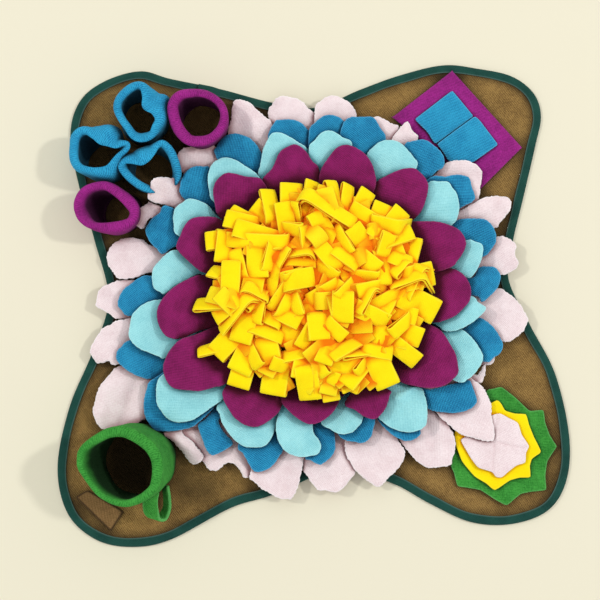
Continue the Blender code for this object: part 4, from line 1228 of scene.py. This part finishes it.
BLUE_LEFT_BODY = [
    (79, 129.5), (88, 127.5), (101.3, 125), (112.9, 125.3), (121.5, 128.5), (126.5, 137), (126.5, 149),
    (123.2, 159.3), (122, 171.6), (118.6, 181.3), (107.9, 183.5), (96.3, 181), (84.7, 176), (75.5, 171),
    (71, 162.6), (70.8, 147.7), (72, 136.1)]
BLUE_RIGHT_BODY = [
    (120, 166.9), (124, 157), (132.8, 150.5), (144.4, 146), (156, 143), (166.6, 143.9), (174.9, 152),
    (180, 162.6), (181, 174.2), (175, 184.8), (162.7, 191), (147.1, 192.5), (135.5, 188.2), (126, 178.2)]
PURPLE_TOP_BODY = [
    (170, 108), (175, 97.5), (184.2, 92.3), (195.8, 91.2), (207.5, 92.3), (219, 98), (226.5, 107),
    (229, 119.5), (225, 133.5), (215, 142.5), (204.1, 147.5), (192.5, 146.5), (180.5, 139), (173.5, 129.5),
    (170.5, 118)]
PURPLE_LEFT_BODY = [
    (75, 204), (79, 193.5), (87, 187), (99.7, 184.5), (112.9, 185.3), (124, 192), (133.5, 200.5),
    (139.5, 208.5), (138, 219.5), (131, 229.5), (119.5, 234), (107.9, 234.5), (96.3, 232), (86.4, 226.5),
    (79, 217)]
PURPLE_TOP_CREST = [
    (173.2, 103), (179.9, 96.3), (189.7, 94.6), (198, 94.4), (208.2, 97.3), (217.6, 103), (223, 111.6),
    (223.6, 120.9), (219.8, 130.3), (211.7, 138.6), (201.2, 142.3), (191.5, 142.5), (184.8, 137.1),
    (179, 128.4), (174.5, 118.6), (172.8, 110)]
PURPLE_LEFT_CREST = [
    (77.8, 199), (83, 192.1), (92.1, 187.5), (102.5, 186.4), (111.7, 190.9), (120.8, 197.8), (127.7, 204.7),
    (132.3, 211.6), (132.3, 219.6), (124.3, 224.2), (112.8, 225.4), (99, 226), (87.6, 225.4), (79.5, 219.6),
    (76.1, 211.6), (76.1, 204.7)]
MUG_CREST = [
    (79.7, 459.8), (81, 452), (87, 445.1), (98.2, 438.2), (108.5, 433.1), (121.5, 431.8), (132.7, 435.7),
    (143, 441.7), (150.7, 449.4), (155.9, 459.8), (156.8, 471), (155.5, 481.3), (152.5, 489), (143.8, 496.8),
    (132.7, 502), (123.2, 503.7), (112, 501.1), (99.9, 494.2), (90.5, 483.9), (83.6, 473.5), (80.1, 466.7)]

# %% The cups
CUPS = [
    Cup("blue_cup_top", "cup_blue_fleece", (-192, 205), 27, 52, BLUE_TOP_CREST, 4.4,
        body_pixels=BLUE_TOP_BODY),
    Cup("blue_cup_left", "cup_blue_fleece", (-234, 157), 24, 50, BLUE_LEFT_CREST, 4.2,
        body_pixels=BLUE_LEFT_BODY),
    Cup("blue_cup_right", "cup_blue_fleece", (-181, 146), 24, 50, BLUE_RIGHT_CREST, 4.2,
        low_side=(318, 24), body_pixels=BLUE_RIGHT_BODY),
    Cup("purple_cup_top", "cup_purple_fleece", (-125, 200), 27, 50, PURPLE_TOP_CREST, 5.0,
        thick_side=(225, 1.2), body_pixels=PURPLE_TOP_BODY),
    Cup("purple_cup_left", "cup_purple_fleece", (-215, 100), 23, 48, PURPLE_LEFT_CREST, 4.8,
        thick_side=(10, 1.4), body_pixels=PURPLE_LEFT_BODY),
    Cup("green_cup", "bright_green_fleece", (-192, -178), 40, 78, MUG_CREST, 4.6, thick_side=(45, 1.6))]
for cup in CUPS:
    cup_piece = cup.make()
    wall_area = sum(polygon.area for polygon in cup_piece.data.polygons) / 2
    around = CREST_SPACING * len(cup.crest) * MM
    wall_area / around
    print(cup.name, "rim", round(around / MM), "mm round, cloth", round(wall_area / around / MM), "mm high")

# %% [markdown]
# ## The mug's handle
#
# The handle is a strap bent into a loop. Its broad face looks up on one leg, and the other leg is seen on its
# edge, so the strap is swept along a curve with its own width direction at every point.

# %% Handle
STRAP_WIDTH = 16.5
STRAP_THICK = 4.6
STRAP_SPACING = 1.6
STRAP_SIDES = 20
STRAP_FLATNESS, STRAP_ROUNDING = 0.35, 0.8  # powers of its section, 1 for an ellipse and 0 for a box
STRAP_PATH = [  # place in mm, then the direction of the strap's width
    ((-174, -210.5, 41), (0.97, 0.2, -0.1)), ((-175.5, -218, 39), (0.98, 0.12, -0.12)),
    ((-175.5, -230, 34), (0.97, 0.0, -0.05)), ((-172, -239, 26), (0.85, -0.2, 0.45)),
    ((-165, -239, 19), (0.68, -0.2, 0.7)), ((-160.5, -231, 17), (0.55, 0.0, 0.83)),
    ((-160, -219, 18), (0.48, 0.0, 0.88)), ((-162, -205, 20), (0.48, 0.05, 0.88))]


def strap():
    """A soft strap along a smooth path, rounded at its edges, as a closed mesh, and its length in metres."""
    places, widths = (np.array(column, float) for column in zip(*STRAP_PATH))
    knots = walk(places)
    stations = np.linspace(0, knots[-1], int(knots[-1] / STRAP_SPACING) + 1)
    before = np.clip(np.searchsorted(knots, stations, side="right") - 1, 0, len(knots) - 2)
    span = (knots[before + 1] - knots[before])[:, None]
    share = (stations - knots[before])[:, None] / span
    line, side = (hermite(share, values[before], span * slopes[before], values[before + 1],
                          span * slopes[before + 1])
                  for values in (places, widths) for slopes in [np.gradient(values, knots, axis=0)])
    ahead = unit(np.gradient(line, axis=0))
    side = unit(side - (side * ahead).sum(axis=1)[:, None] * ahead)
    face = np.cross(ahead, side)
    turn = np.linspace(0, 2 * math.pi, STRAP_SIDES, endpoint=False)
    across = 0.5 * STRAP_WIDTH * np.sign(np.cos(turn)) * np.abs(np.cos(turn)) ** STRAP_FLATNESS
    proud = 0.5 * STRAP_THICK * np.sign(np.sin(turn)) * np.abs(np.sin(turn)) ** STRAP_ROUNDING
    points = line[:, None] + across[:, None] * side[:, None] + proud[:, None] * face[:, None]
    faces = tube(len(line), STRAP_SIDES)
    last = (len(line) - 1) * STRAP_SIDES
    faces += [tuple(range(STRAP_SIDES))[::-1], tuple(range(last, last + STRAP_SIDES))]
    sheet = Sheet(points.reshape(-1, 3), faces, strip_map(across, stations[:, None]),
                  np.tile(0.5 * STRAP_WIDTH - np.abs(across), len(line)) * MM)
    return sheet, stations[-1] * MM


handle_strap, strap_length = strap()
handle = make_piece("handle_strap", [handle_strap], "bright_green_fleece", "green_handle")
turn_outwards(handle)

# %% [markdown]
# ## The yellow tuft
#
# The middle is filled with loops: strips of fleece 20 mm wide, folded in two and sewn down by their ends.
# They fall over one another, so that most show a broad face and some show the hole at their side. Each row of
# the table is one loop as it lies in the picture: where it comes out of the pile, where its fold is, and how
# wide it looks, in an enlargement of the photograph. A loop that looks narrower than its strip is turned on
# its length.

# %% Loops seen in the photograph
TUFT_VIEW_CORNER = np.array([185.0, 170.0])
TUFT_VIEW_SCALE = 6.03
TUFT_VIEW_MIDDLE = (800.0, 700.0)
TUFT_SEEN_AT = 56.0
LOOPS = [  # tail across and down, fold across and down, width, in the enlargement
    (642, 240, 640, 68, 140), (745, 240, 770, 55, 96), (925, 245, 872, 58, 62), (965, 260, 985, 75, 84),
    (1045, 240, 1110, 110, 108), (1160, 320, 1205, 190, 125), (1220, 360, 1320, 225, 120),
    (1230, 420, 1375, 365, 92), (1365, 550, 1400, 400, 74), (1370, 650, 1505, 610, 150),
    (1330, 760, 1525, 850, 180), (1270, 950, 1430, 1010, 125), (1270, 1050, 1410, 1150, 110),
    (1150, 1130, 1235, 1300, 150), (1070, 1150, 960, 1290, 140), (735, 1240, 760, 1380, 140),
    (560, 1150, 530, 1352, 170), (350, 1190, 315, 1305, 140), (385, 1080, 320, 1215, 150),
    (290, 990, 180, 1110, 140), (200, 1060, 70, 1095, 76), (220, 800, 55, 808, 88), (290, 800, 180, 890, 108),
    (270, 630, 146, 598, 92), (278, 590, 275, 748, 118), (240, 400, 220, 545, 100), (270, 400, 120, 420, 120),
    (400, 320, 240, 280, 115), (380, 300, 262, 235, 110), (510, 280, 415, 200, 112),
    (530, 260, 490, 105, 100), (620, 370, 590, 195, 112), (672, 300, 660, 192, 62),
    (1110, 290, 1000, 230, 112), (850, 380, 780, 260, 120), (560, 420, 300, 345, 118),
    (540, 440, 250, 410, 86), (330, 620, 300, 470, 92), (435, 420, 440, 645, 136),
    (1300, 570, 1250, 440, 118), (1240, 340, 1130, 300, 90), (1200, 400, 1110, 340, 84),
    (1190, 510, 1230, 390, 60), (1260, 520, 1370, 570, 104), (1390, 620, 1330, 770, 80),
    (1310, 560, 1250, 640, 64), (1390, 640, 1240, 700, 66), (1180, 520, 1200, 695, 88),
    (1350, 900, 1240, 990, 70), (1260, 850, 1400, 885, 100), (1140, 960, 1240, 1050, 132),
    (1100, 1080, 1250, 1105, 84), (1100, 1150, 1030, 1230, 64), (1020, 1180, 858, 1185, 84),
    (860, 1240, 920, 1265, 66), (790, 1150, 850, 1240, 60), (720, 1150, 700, 1258, 130),
    (650, 1200, 525, 1160, 64), (480, 1000, 520, 1165, 140), (370, 1040, 450, 1185, 72),
    (370, 890, 330, 1035, 140), (350, 800, 215, 970, 74), (360, 790, 410, 830, 52), (420, 620, 395, 775, 132),
    (530, 470, 490, 610, 64), (540, 590, 520, 758, 84), (610, 350, 710, 370, 64), (690, 440, 530, 455, 74),
    (720, 485, 578, 510, 68), (640, 545, 785, 550, 70), (740, 500, 715, 345, 72), (800, 480, 860, 345, 135),
    (920, 370, 1000, 500, 66), (780, 180, 1020, 330, 84), (1100, 470, 1010, 345, 120),
    (820, 470, 930, 600, 104), (915, 490, 1045, 580, 68), (1040, 500, 1160, 605, 112),
    (1030, 640, 1172, 650, 84), (1180, 700, 1040, 740, 70), (950, 580, 1000, 690, 92),
    (800, 570, 920, 650, 84), (860, 660, 950, 730, 82), (1290, 735, 1060, 860, 74),
    (1130, 780, 1240, 880, 82), (1240, 780, 1190, 870, 70), (1010, 700, 920, 790, 92),
    (900, 710, 745, 790, 92), (690, 630, 600, 670, 74), (650, 670, 775, 640, 122), (640, 740, 690, 880, 82),
    (620, 695, 510, 835, 64), (410, 720, 500, 775, 66), (450, 770, 425, 925, 84), (460, 870, 580, 930, 84),
    (545, 850, 690, 920, 92), (430, 950, 590, 1010, 80), (650, 930, 640, 1065, 135),
    (760, 820, 700, 920, 110), (770, 950, 700, 1070, 90), (800, 900, 810, 1025, 132),
    (950, 790, 950, 920, 132), (880, 940, 960, 1010, 74), (1060, 850, 1220, 915, 104),
    (1100, 740, 1040, 870, 70), (980, 960, 1100, 1060, 104), (900, 1020, 830, 1165, 112),
    (750, 1090, 585, 1130, 86), (1020, 1040, 880, 1135, 84), (1100, 1090, 940, 1120, 56),
    (590, 860, 640, 760, 60), (560, 560, 620, 470, 60), (330, 650, 350, 770, 80)]
print(len(LOOPS), "loops seen")

# %% [markdown]
# A loop is modelled once for each of a few lengths and openings. It starts deep in the pile, comes up, turns
# over and lies along to its fold, then goes back underneath itself.

# %% Loop shapes
STRIP_WIDTH = 20.0
STRIP_THICK = 1.9
STRIP_CROWN = 0.9  # mm by which the sides of a strip hang down
STRIP_RIM = 0.45  # share of the thickness that is left at its cut edges
BEND = 7.0
LEAST_GAP = 1.15
NOSE = 0.45  # how far the fold reaches past its last step, as a share of the opening
NOSE_STEPS = 7
OUTERMOST = 0.49  # share of the width, beyond which a column is on the cut edge
LOOP_LENGTHS = (14.0, 20.0, 27.0, 35.0)
LOOP_OPENINGS = (2.0, 3.6, 5.2)
LOOP_TWIST = 0.25
# Stem, steps of the stem, the bend and the lying part, and columns of points as shares of the width
UPPER_LOOP = (26.0, (5, 5, 8), (-0.5, -0.46, -0.2, 0.2, 0.46, 0.5))
LOWER_LOOP = (8.0, (2, 3, 4), (-0.5, -0.44, 0.44, 0.5))  # plainer, for the loops underneath
LOWER_LENGTH, LOWER_OPENING = 22.0, 2.6


def loop_shape(name, length, opening, twist, stem_length, steps, columns):
    """A folded strip that lies along +X, its broad face up, its stem going down at X = 0, and its length."""
    stem = [(-BEND, -BEND - s) for s in np.linspace(stem_length, 0, steps[0])]
    turn = [(-BEND * math.cos(a), -BEND + BEND * math.sin(a))
            for a in np.linspace(0, math.pi / 2, steps[1])[1:]]
    lying = [(s, 0.0) for s in np.linspace(0, length, steps[2])[1:]]
    middle = np.array(stem + turn + lying)
    walked = walk(middle)
    up = left_of(unit(np.gradient(middle, walked, axis=0)))
    before_fold = walked[-1] - walked
    closing = np.sqrt(np.clip(1 - (1 - np.clip(before_fold / opening, 0, 1)) ** 2, 0, 1))
    gap = LEAST_GAP + (opening - LEAST_GAP) * np.exp(-before_fold / (0.5 * length)) * closing
    gap[-1] = 0.0
    upper, lower = middle + up * gap[:, None], middle - up * gap[:, None]
    nose = NOSE * opening
    nose_turn = [(middle[-1, 0] + nose * math.cos(a) - nose, gap[-2] * math.sin(a))
                 for a in np.linspace(math.pi / 2, -math.pi / 2, NOSE_STEPS)[1:-1]]
    line = np.vstack([upper[:-1], nose_turn, lower[:-1][::-1]])
    along = walk(line)
    proud = left_of(unit(np.gradient(line, axis=0))) * 0.5 * STRIP_THICK
    columns = np.array(columns) * STRIP_WIDTH
    thinner = np.where(np.abs(columns) > OUTERMOST * STRIP_WIDTH, STRIP_RIM, 1.0)
    crown = -STRIP_CROWN * (columns / (0.5 * STRIP_WIDTH)) ** 2
    share = (np.minimum(along, along[-1] - along) / (0.5 * along[-1]))[:, None]
    angle = twist * share ** 2
    drop = crown * np.where(np.arange(len(line)) < len(line) / 2, 1, -1)[:, None] * share
    faces_of_cloth = []
    for face in (1.0, -1.0):
        x = line[:, :1] + face * proud[:, :1] * thinner
        z = line[:, 1:] + face * proud[:, 1:] * thinner + drop
        faces_of_cloth.append(np.stack([x, columns * np.cos(angle) - z * np.sin(angle),
                                        columns * np.sin(angle) + z * np.cos(angle)], axis=-1))
    numbers = np.arange(2 * len(line) * len(columns)).reshape(2, len(line), len(columns))
    faces = skin(numbers[0]) + skin(numbers[1], BACKWARD)
    faces += skin(numbers[:, :, 0]) + skin(numbers[:, :, -1], BACKWARD)
    faces += skin(numbers[:, 0], BACKWARD) + skin(numbers[:, -1])
    flat_map = strip_map(columns, along[:, None])
    edge = np.tile(0.5 * STRIP_WIDTH - np.abs(columns), 2 * len(line)) * MM
    strip = Sheet(np.stack(faces_of_cloth).reshape(-1, 3), faces, np.vstack([flat_map, flat_map]), edge)
    loop = bpy.data.objects.new(name, cloth_mesh(name, [strip]))
    turn_outwards(loop)
    return loop, along[-1]


LOOP_KINDS = [(length, opening, 0.0 if opening > 4 else LOOP_TWIST * (1 if length > 22 else -1), *UPPER_LOOP)
              for opening in LOOP_OPENINGS for length in LOOP_LENGTHS]
LOOP_KINDS.append((LOWER_LENGTH, LOWER_OPENING, 0.0, *LOWER_LOOP))
loop_shapes = bpy.data.collections.new("loop_shapes")
loop_cloth = []
for number, kind in enumerate(LOOP_KINDS):
    loop, cloth_length = loop_shape(f"loop_{number:02d}", *kind)
    loop_shapes.objects.link(loop)
    loop_cloth.append(cloth_length * MM)
print(len(loop_cloth), "loop shapes, strips", round(min(loop_cloth) / MM), "to",
      round(max(loop_cloth) / MM), "mm")

# %% [markdown]
# The pile is built as the petals were, on a height map. A dome says how high the stems reach. Each loop is set
# down on what is already there, tipped to its slope, and then counts as part of the pile. The lower loops are
# scattered, and the ones seen in the photograph lie over them, the outermost first.

# %% The pile
DOME = [(0, 50.0), (40, 49.0), (70, 47.5), (95, 44.5), (112, 42.0), (126, 39.0), (140, 35.0)]
TUFT_CENTRE = np.array([4.0, 4.0])
LOOP_DEPTH = 6.0
SINK = 1.2  # mm by which a loop presses into what it lies on
ROLL_SHARE = 0.6  # of the turn that would make a strip look as narrow as it does
PROFILE_LEVEL = 70  # per cent of the pile's heights under a loop that it clears
TILTS = (-0.02, 0.12)
SHORTEST = 12.0
WIDTHS = (0.75, 1.45)  # least and most that a strip may be narrowed or widened
SLOPES = (-0.55, 0.5)
OPENING_ODDS = (0.4, 0.4, 0.2)
SPOTS_ALONG, SPOTS_ACROSS = np.linspace(0.1, 1.0, 6), np.linspace(-0.4, 0.4, 5)  # shares of a loop
MOST_LEAN = 1.2  # radians by which a lower loop may turn from pointing outwards
LOWER_LOOPS = 165
LOWER_REACH = 97.0
LOWER_RUNS = (16, 28)
LOWER_WIDTH = 19.0

pile = LaidCloth()
cell_places = (np.arange(pile.count) + 0.5) * pile.CELL - pile.HALF
from_centre = np.hypot(cell_places[:, None] - TUFT_CENTRE[0], cell_places[None, :] - TUFT_CENTRE[1])
pile.top = np.interp(from_centre, *np.array(DOME).T)
pile_dice = np.random.default_rng(12)
loops_down = []  # place, turn, size and shape of each


def set_down(tail, fold, seen_width, lower=False):
    """Sets one loop on the pile. tail and fold are places in mm."""
    run = fold - tail
    length = max(np.hypot(*run), SHORTEST)
    heading = math.atan2(run[1], run[0])
    ahead = run / max(np.hypot(*run), 1e-6)
    across = np.array([-ahead[1], ahead[0]])
    roll = ROLL_SHARE * math.acos(min(seen_width / STRIP_WIDTH, 1.0)) * pile_dice.choice((-1, 1))
    wide = float(np.clip(seen_width / (STRIP_WIDTH * math.cos(roll)), *WIDTHS))
    sides = SPOTS_ACROSS * min(seen_width, STRIP_WIDTH)
    spots = tail + SPOTS_ALONG[:, None, None] * length * ahead + sides[None, :, None] * across
    cells = pile.cells(spots.reshape(-1, 2))
    heights = pile.top[cells].reshape(len(SPOTS_ALONG), len(sides))
    profile = np.sort(heights, axis=1)[:, -2]  # a single high spot doesn't count
    slope = np.polyfit(SPOTS_ALONG * length, profile, 1)[0]
    slope = float(np.clip(slope + pile_dice.uniform(*TILTS), *SLOPES))
    start = float(np.percentile(profile - slope * SPOTS_ALONG * length, PROFILE_LEVEL))
    level = start + 0.5 * LOOP_DEPTH - SINK
    tops = level + slope * SPOTS_ALONG * length + 0.5 * LOOP_DEPTH
    tops = tops[:, None] + sides * math.tan(min(abs(roll), 1.0)) * (1 if roll > 0 else -1) * ROLL_SHARE
    np.maximum.at(pile.top, cells, tops.ravel())
    pitch = math.atan(slope)
    target = length / math.cos(pitch)
    kind = int(np.abs(np.array(LOOP_LENGTHS) - target).argmin())
    opening = int(pile_dice.choice(3, p=OPENING_ODDS))
    shape = len(LOOP_KINDS) - 1 if lower else len(LOOP_LENGTHS) * opening + kind
    loops_down.append(((tail[0] * MM, tail[1] * MM, level * MM), (roll, -pitch, heading),
                       (target / LOOP_KINDS[shape][0], wide, 1.0), shape))


for _ in range(LOWER_LOOPS):
    turn, reach = pile_dice.uniform(0, 2 * math.pi), LOWER_REACH * math.sqrt(pile_dice.uniform(0, 1))
    tail = TUFT_CENTRE + reach * np.array([math.cos(turn), math.sin(turn)])
    lean = turn + pile_dice.uniform(-MOST_LEAN, MOST_LEAN)
    run = pile_dice.uniform(*LOWER_RUNS) * np.array([math.cos(lean), math.sin(lean)])
    set_down(tail, tail + run, LOWER_WIDTH, lower=True)
for row in sorted(LOOPS, key=lambda row: -math.dist(row[2:4], TUFT_VIEW_MIDDLE)):
    seen = np.array([row[:2], row[2:4]], float) / TUFT_VIEW_SCALE + TUFT_VIEW_CORNER
    tail, fold = on_mat(seen, TUFT_SEEN_AT)
    set_down(tail, fold, row[4] / TUFT_VIEW_SCALE * (CAMERA_DISTANCE - TUFT_SEEN_AT) / FOCAL_PIXELS)
print(len(loops_down), "loops set down, highest", round(pile.top[from_centre < 100].max(), 1), "mm")

# %% [markdown]
# Geometry Nodes put a loop shape on each point, turned and sized by the point's attributes, and give the result
# its material. Realize Instances makes real mesh of it, which the export needs.


# %% The tuft's node tree
def instance_tree(name, collection, material):
    """A tree that puts the collection's shapes on points by their turn, size and shape attributes."""
    tree = bpy.data.node_groups.new(name, "GeometryNodeTree")
    tree.interface.new_socket("Geometry", in_out="INPUT", socket_type="NodeSocketGeometry")
    scale = tree.interface.new_socket("Loop scale", in_out="INPUT", socket_type="NodeSocketFloat")
    scale.default_value = 1.0
    tree.interface.new_socket("Geometry", in_out="OUTPUT", socket_type="NodeSocketGeometry")
    make = Nodes(tree)

    def attribute(attribute_name, kind):
        return make.add("GeometryNodeInputNamedAttribute", {"data_type": kind},
                        {"Name": attribute_name}).outputs["Attribute"]

    start = make.add("NodeGroupInput")
    info = make.add("GeometryNodeCollectionInfo", None,
                    {"Collection": collection, "Separate Children": True, "Reset Children": True})
    resize = make.add("ShaderNodeVectorMath", {"operation": "SCALE"},
                      {0: attribute("size", "FLOAT_VECTOR"), "Scale": start.outputs["Loop scale"]})
    turn = make.add("FunctionNodeEulerToRotation", None, {0: attribute("turn", "FLOAT_VECTOR")})
    instance = make.add("GeometryNodeInstanceOnPoints", None, {
        "Points": start.outputs["Geometry"], "Instance": info.outputs[0], "Pick Instance": True,
        "Instance Index": attribute("shape", "INT"), "Rotation": turn.outputs[0], "Scale": resize.outputs[0]})
    realize = make.add("GeometryNodeRealizeInstances", None, {0: instance.outputs[0]})
    finish = make.add("GeometryNodeSetMaterial", None, {"Geometry": realize.outputs[0], "Material": material})
    make.add("NodeGroupOutput", None, {"Geometry": finish.outputs["Geometry"]})
    return tree, scale.identifier


def grown_from_points(name, places, turns, sizes, shapes, collection, material):
    """A mesh object with a shape of the collection on each place."""
    mesh = bpy.data.meshes.new(name + "_points")
    mesh.from_pydata(list(places), [], [])
    for attribute, values in (("turn", turns), ("size", sizes)):
        mesh.attributes.new(attribute, "FLOAT_VECTOR", "POINT").data.foreach_set("vector", np.ravel(values))
    mesh.attributes.new("shape", "INT", "POINT").data.foreach_set("value", np.array(shapes))
    holder = put(name + "_points", mesh)
    tree, scale = instance_tree(name + "_tree", collection, material)
    modifier = holder.modifiers.new("grow", "NODES")
    modifier.node_group = tree
    modifier[scale] = 1.0
    result = bpy.data.meshes.new_from_object(holder.evaluated_get(bpy.context.evaluated_depsgraph_get()))
    result.name = name
    holder.modifiers.remove(modifier)
    bpy.data.objects.remove(holder)
    return put(name, result)


tuft = grown_from_points("yellow_loops", *zip(*loops_down), loop_shapes, FLEECES["yellow_fleece"])
tuft_points = read(tuft.data.vertices, "co", 3) / MM
print("tuft", len(tuft.data.polygons), "faces, from", tuft_points.min(axis=0).round(1), "to",
      tuft_points.max(axis=0).round(1))

settle(tuft, "yellow_fleece", "loop_tuft")
strip_length = float(np.array([loop_cloth[shape] for *_, shape in loops_down]).sum())
print("strips in all", round(strip_length, 1), "m")

# %% [markdown]
# ## Painted shade in the nooks
#
# Cloth that lies deep between its neighbours gets a darker colour, a painted shade for the shadow that falls
# there. In the tuft the painted shade is orange, for light that goes from yellow to yellow and comes out
# orange.
# From each point of the cloth a few lines are drawn outwards. The share that soon meets other cloth is the
# nook shade attribute, from 0 to 1, which the fleeces read. The insides of the cups, the base within them and a
# few lines get more painted shade: the star's seams, the patch's edge, and a painted shadow beside the mug.

# %% Painted nook shade
NOOK_LINES = 14
NOOK_REACH = 26.0
NOOK_REACHES = {"yellow": 15.0, "base": 45.0, "handle": 12.0, "pink": 24.0, "purple": 42.0, "upper": 10.0,
                "lower": 10.0}  # by the first word of the piece's name
CUP_REACH = 75.0
CUP_INSIDE_SHADES = {"green_cup": 1.5}  # painted shade added to the inside of a cup at its foot
CUP_INSIDE_SHADE = 0.25
CUP_FLOOR_SHADES = {"green_cup": 0.76}  # painted shade of the base inside a cup
CUP_FLOOR_SHADE = 0.54
RIM_BELOW = 6.0  # mm below its top, where the painted shade on the inside of a cup starts
NOOK_SKIN = 0.35
LINE_TURN = 2.4  # radians between the lines of one point and of the next
# Points that face down more than FACING_DOWN get NOOK_BELOW as their painted shade
FACING_DOWN, NOOK_BELOW = -0.35, 0.75
SHADE_LINES = {  # painted shade along lines, as line, depth, half-width in mm: a painted shadow beside the mug on the base, and darker lines along the star's seams and round the patch's edge
    "base": [(on_mat([(176, 470), (187, 490), (204, 490)], BASE_TOP), 0.5, 24.0)],
    "pink_star": [(on_mat(seam, PINK_STAR_SEEN_AT), 0.2, 1.1) for seam in STAR_SEAMS_PIXELS],
    "patch": [(np.vstack([corners, corners[:1]]), 1.0, 1.5) for corners in [on_mat(PATCH_PIXELS, 4.0)]]}


def half_sphere(count):
    """Directions spread over a half-sphere about +Z, most of them near its top."""
    step = np.arange(count) + 0.5
    out, turn = np.sqrt(step / count), step * math.pi * (3 - math.sqrt(5))
    return np.column_stack([out * np.cos(turn), out * np.sin(turn), np.sqrt(1 - out ** 2)])


def closed_in(tree, points, normals, reach, skipped):
    """The share of the lines from each point that meets cloth within reach, near cloth counting more."""
    directions, share = half_sphere(NOOK_LINES), np.zeros(len(points))
    helper = np.where(np.abs(normals[:, :1]) > 0.7, [[0.0, 1.0, 0.0]], [[1.0, 0.0, 0.0]])
    side = unit(np.cross(normals, helper))
    other = np.cross(normals, side)
    starts = points + normals * NOOK_SKIN
    for k in np.flatnonzero(~skipped):
        c, s = math.cos(k * LINE_TURN), math.sin(k * LINE_TURN)
        axes = np.array([side[k] * c + other[k] * s, other[k] * c - side[k] * s, normals[k]])
        start, total = Vector(starts[k]), 0.0
        for direction in (directions @ axes).tolist():
            distance = tree.ray_cast(start, direction, reach)[3]
            if distance is not None:
                total += 1 - (distance / reach) ** 2
        share[k] = total / NOOK_LINES
    return share


def evened(piece, values, times):
    """Values averaged with those of the neighbouring points."""
    start, end = read(piece.data.edges, "vertices", 2, int).T
    both = np.bincount(start, minlength=len(values)) + np.bincount(end, minlength=len(values))
    for _ in range(times):
        total = np.bincount(start, values[end], len(values)) + np.bincount(end, values[start], len(values))
        values = 0.5 * values + 0.5 * total / np.maximum(both, 1)
    return values


cloths = [piece for piece in bpy.context.scene.objects
          if piece.type == "MESH" and "edge" in piece.data.attributes]
every_point, every_face, first = [], [], 0
for piece in cloths:
    every_point.append(read(piece.data.vertices, "co", 3) / MM)
    every_face += [tuple(first + k for k in polygon.vertices) for polygon in piece.data.polygons]
    first += len(piece.data.vertices)
cloth_tree = BVHTree.FromPolygons(np.vstack(every_point).tolist(), every_face)
for piece, points in zip(cloths, every_point):
    cup = next((cup for cup in CUPS if piece.name == cup.name + "_wall"), None)
    reach = CUP_REACH if cup else NOOK_REACHES.get(piece.name.split("_")[0], NOOK_REACH)
    normals = read(piece.data.vertices, "normal", 3)
    below = (normals[:, 2] < FACING_DOWN) & (cup is None)
    nook = closed_in(cloth_tree, points, normals, reach, below)
    # Painted shade inside the cups: the inside walls darken towards the foot, and the base within each cup is
    # set dark
    if cup:
        faces_in = ((points[:, :2] - cup.foot) * normals[:, :2]).sum(axis=1) < 0
        deep = np.clip((cup.height - RIM_BELOW - points[:, 2]) / cup.height, 0, 1)
        nook += CUP_INSIDE_SHADES.get(cup.name, CUP_INSIDE_SHADE) * faces_in * deep
    if piece is base:
        for cup in CUPS:
            nook[lengths(points[:, :2] - cup.foot) < cup.radius] = CUP_FLOOR_SHADES.get(cup.name, CUP_FLOOR_SHADE)
    nook = evened(piece, nook, 6 if piece is base else 2)
    # Painted shade along the listed lines, such as a painted shadow beside the mug on the base
    for line, depth, half_width in SHADE_LINES.get(piece.name, ()):
        nook = np.maximum(nook, ridge(points[:, :2], line, depth, half_width))
    nook[below] = NOOK_BELOW
    piece.data.attributes.new("nook", "FLOAT", "POINT").data.foreach_set("value", np.clip(nook, 0.0, 1.0))
print(len(cloths), "cloth pieces shaded, with", first, "points")
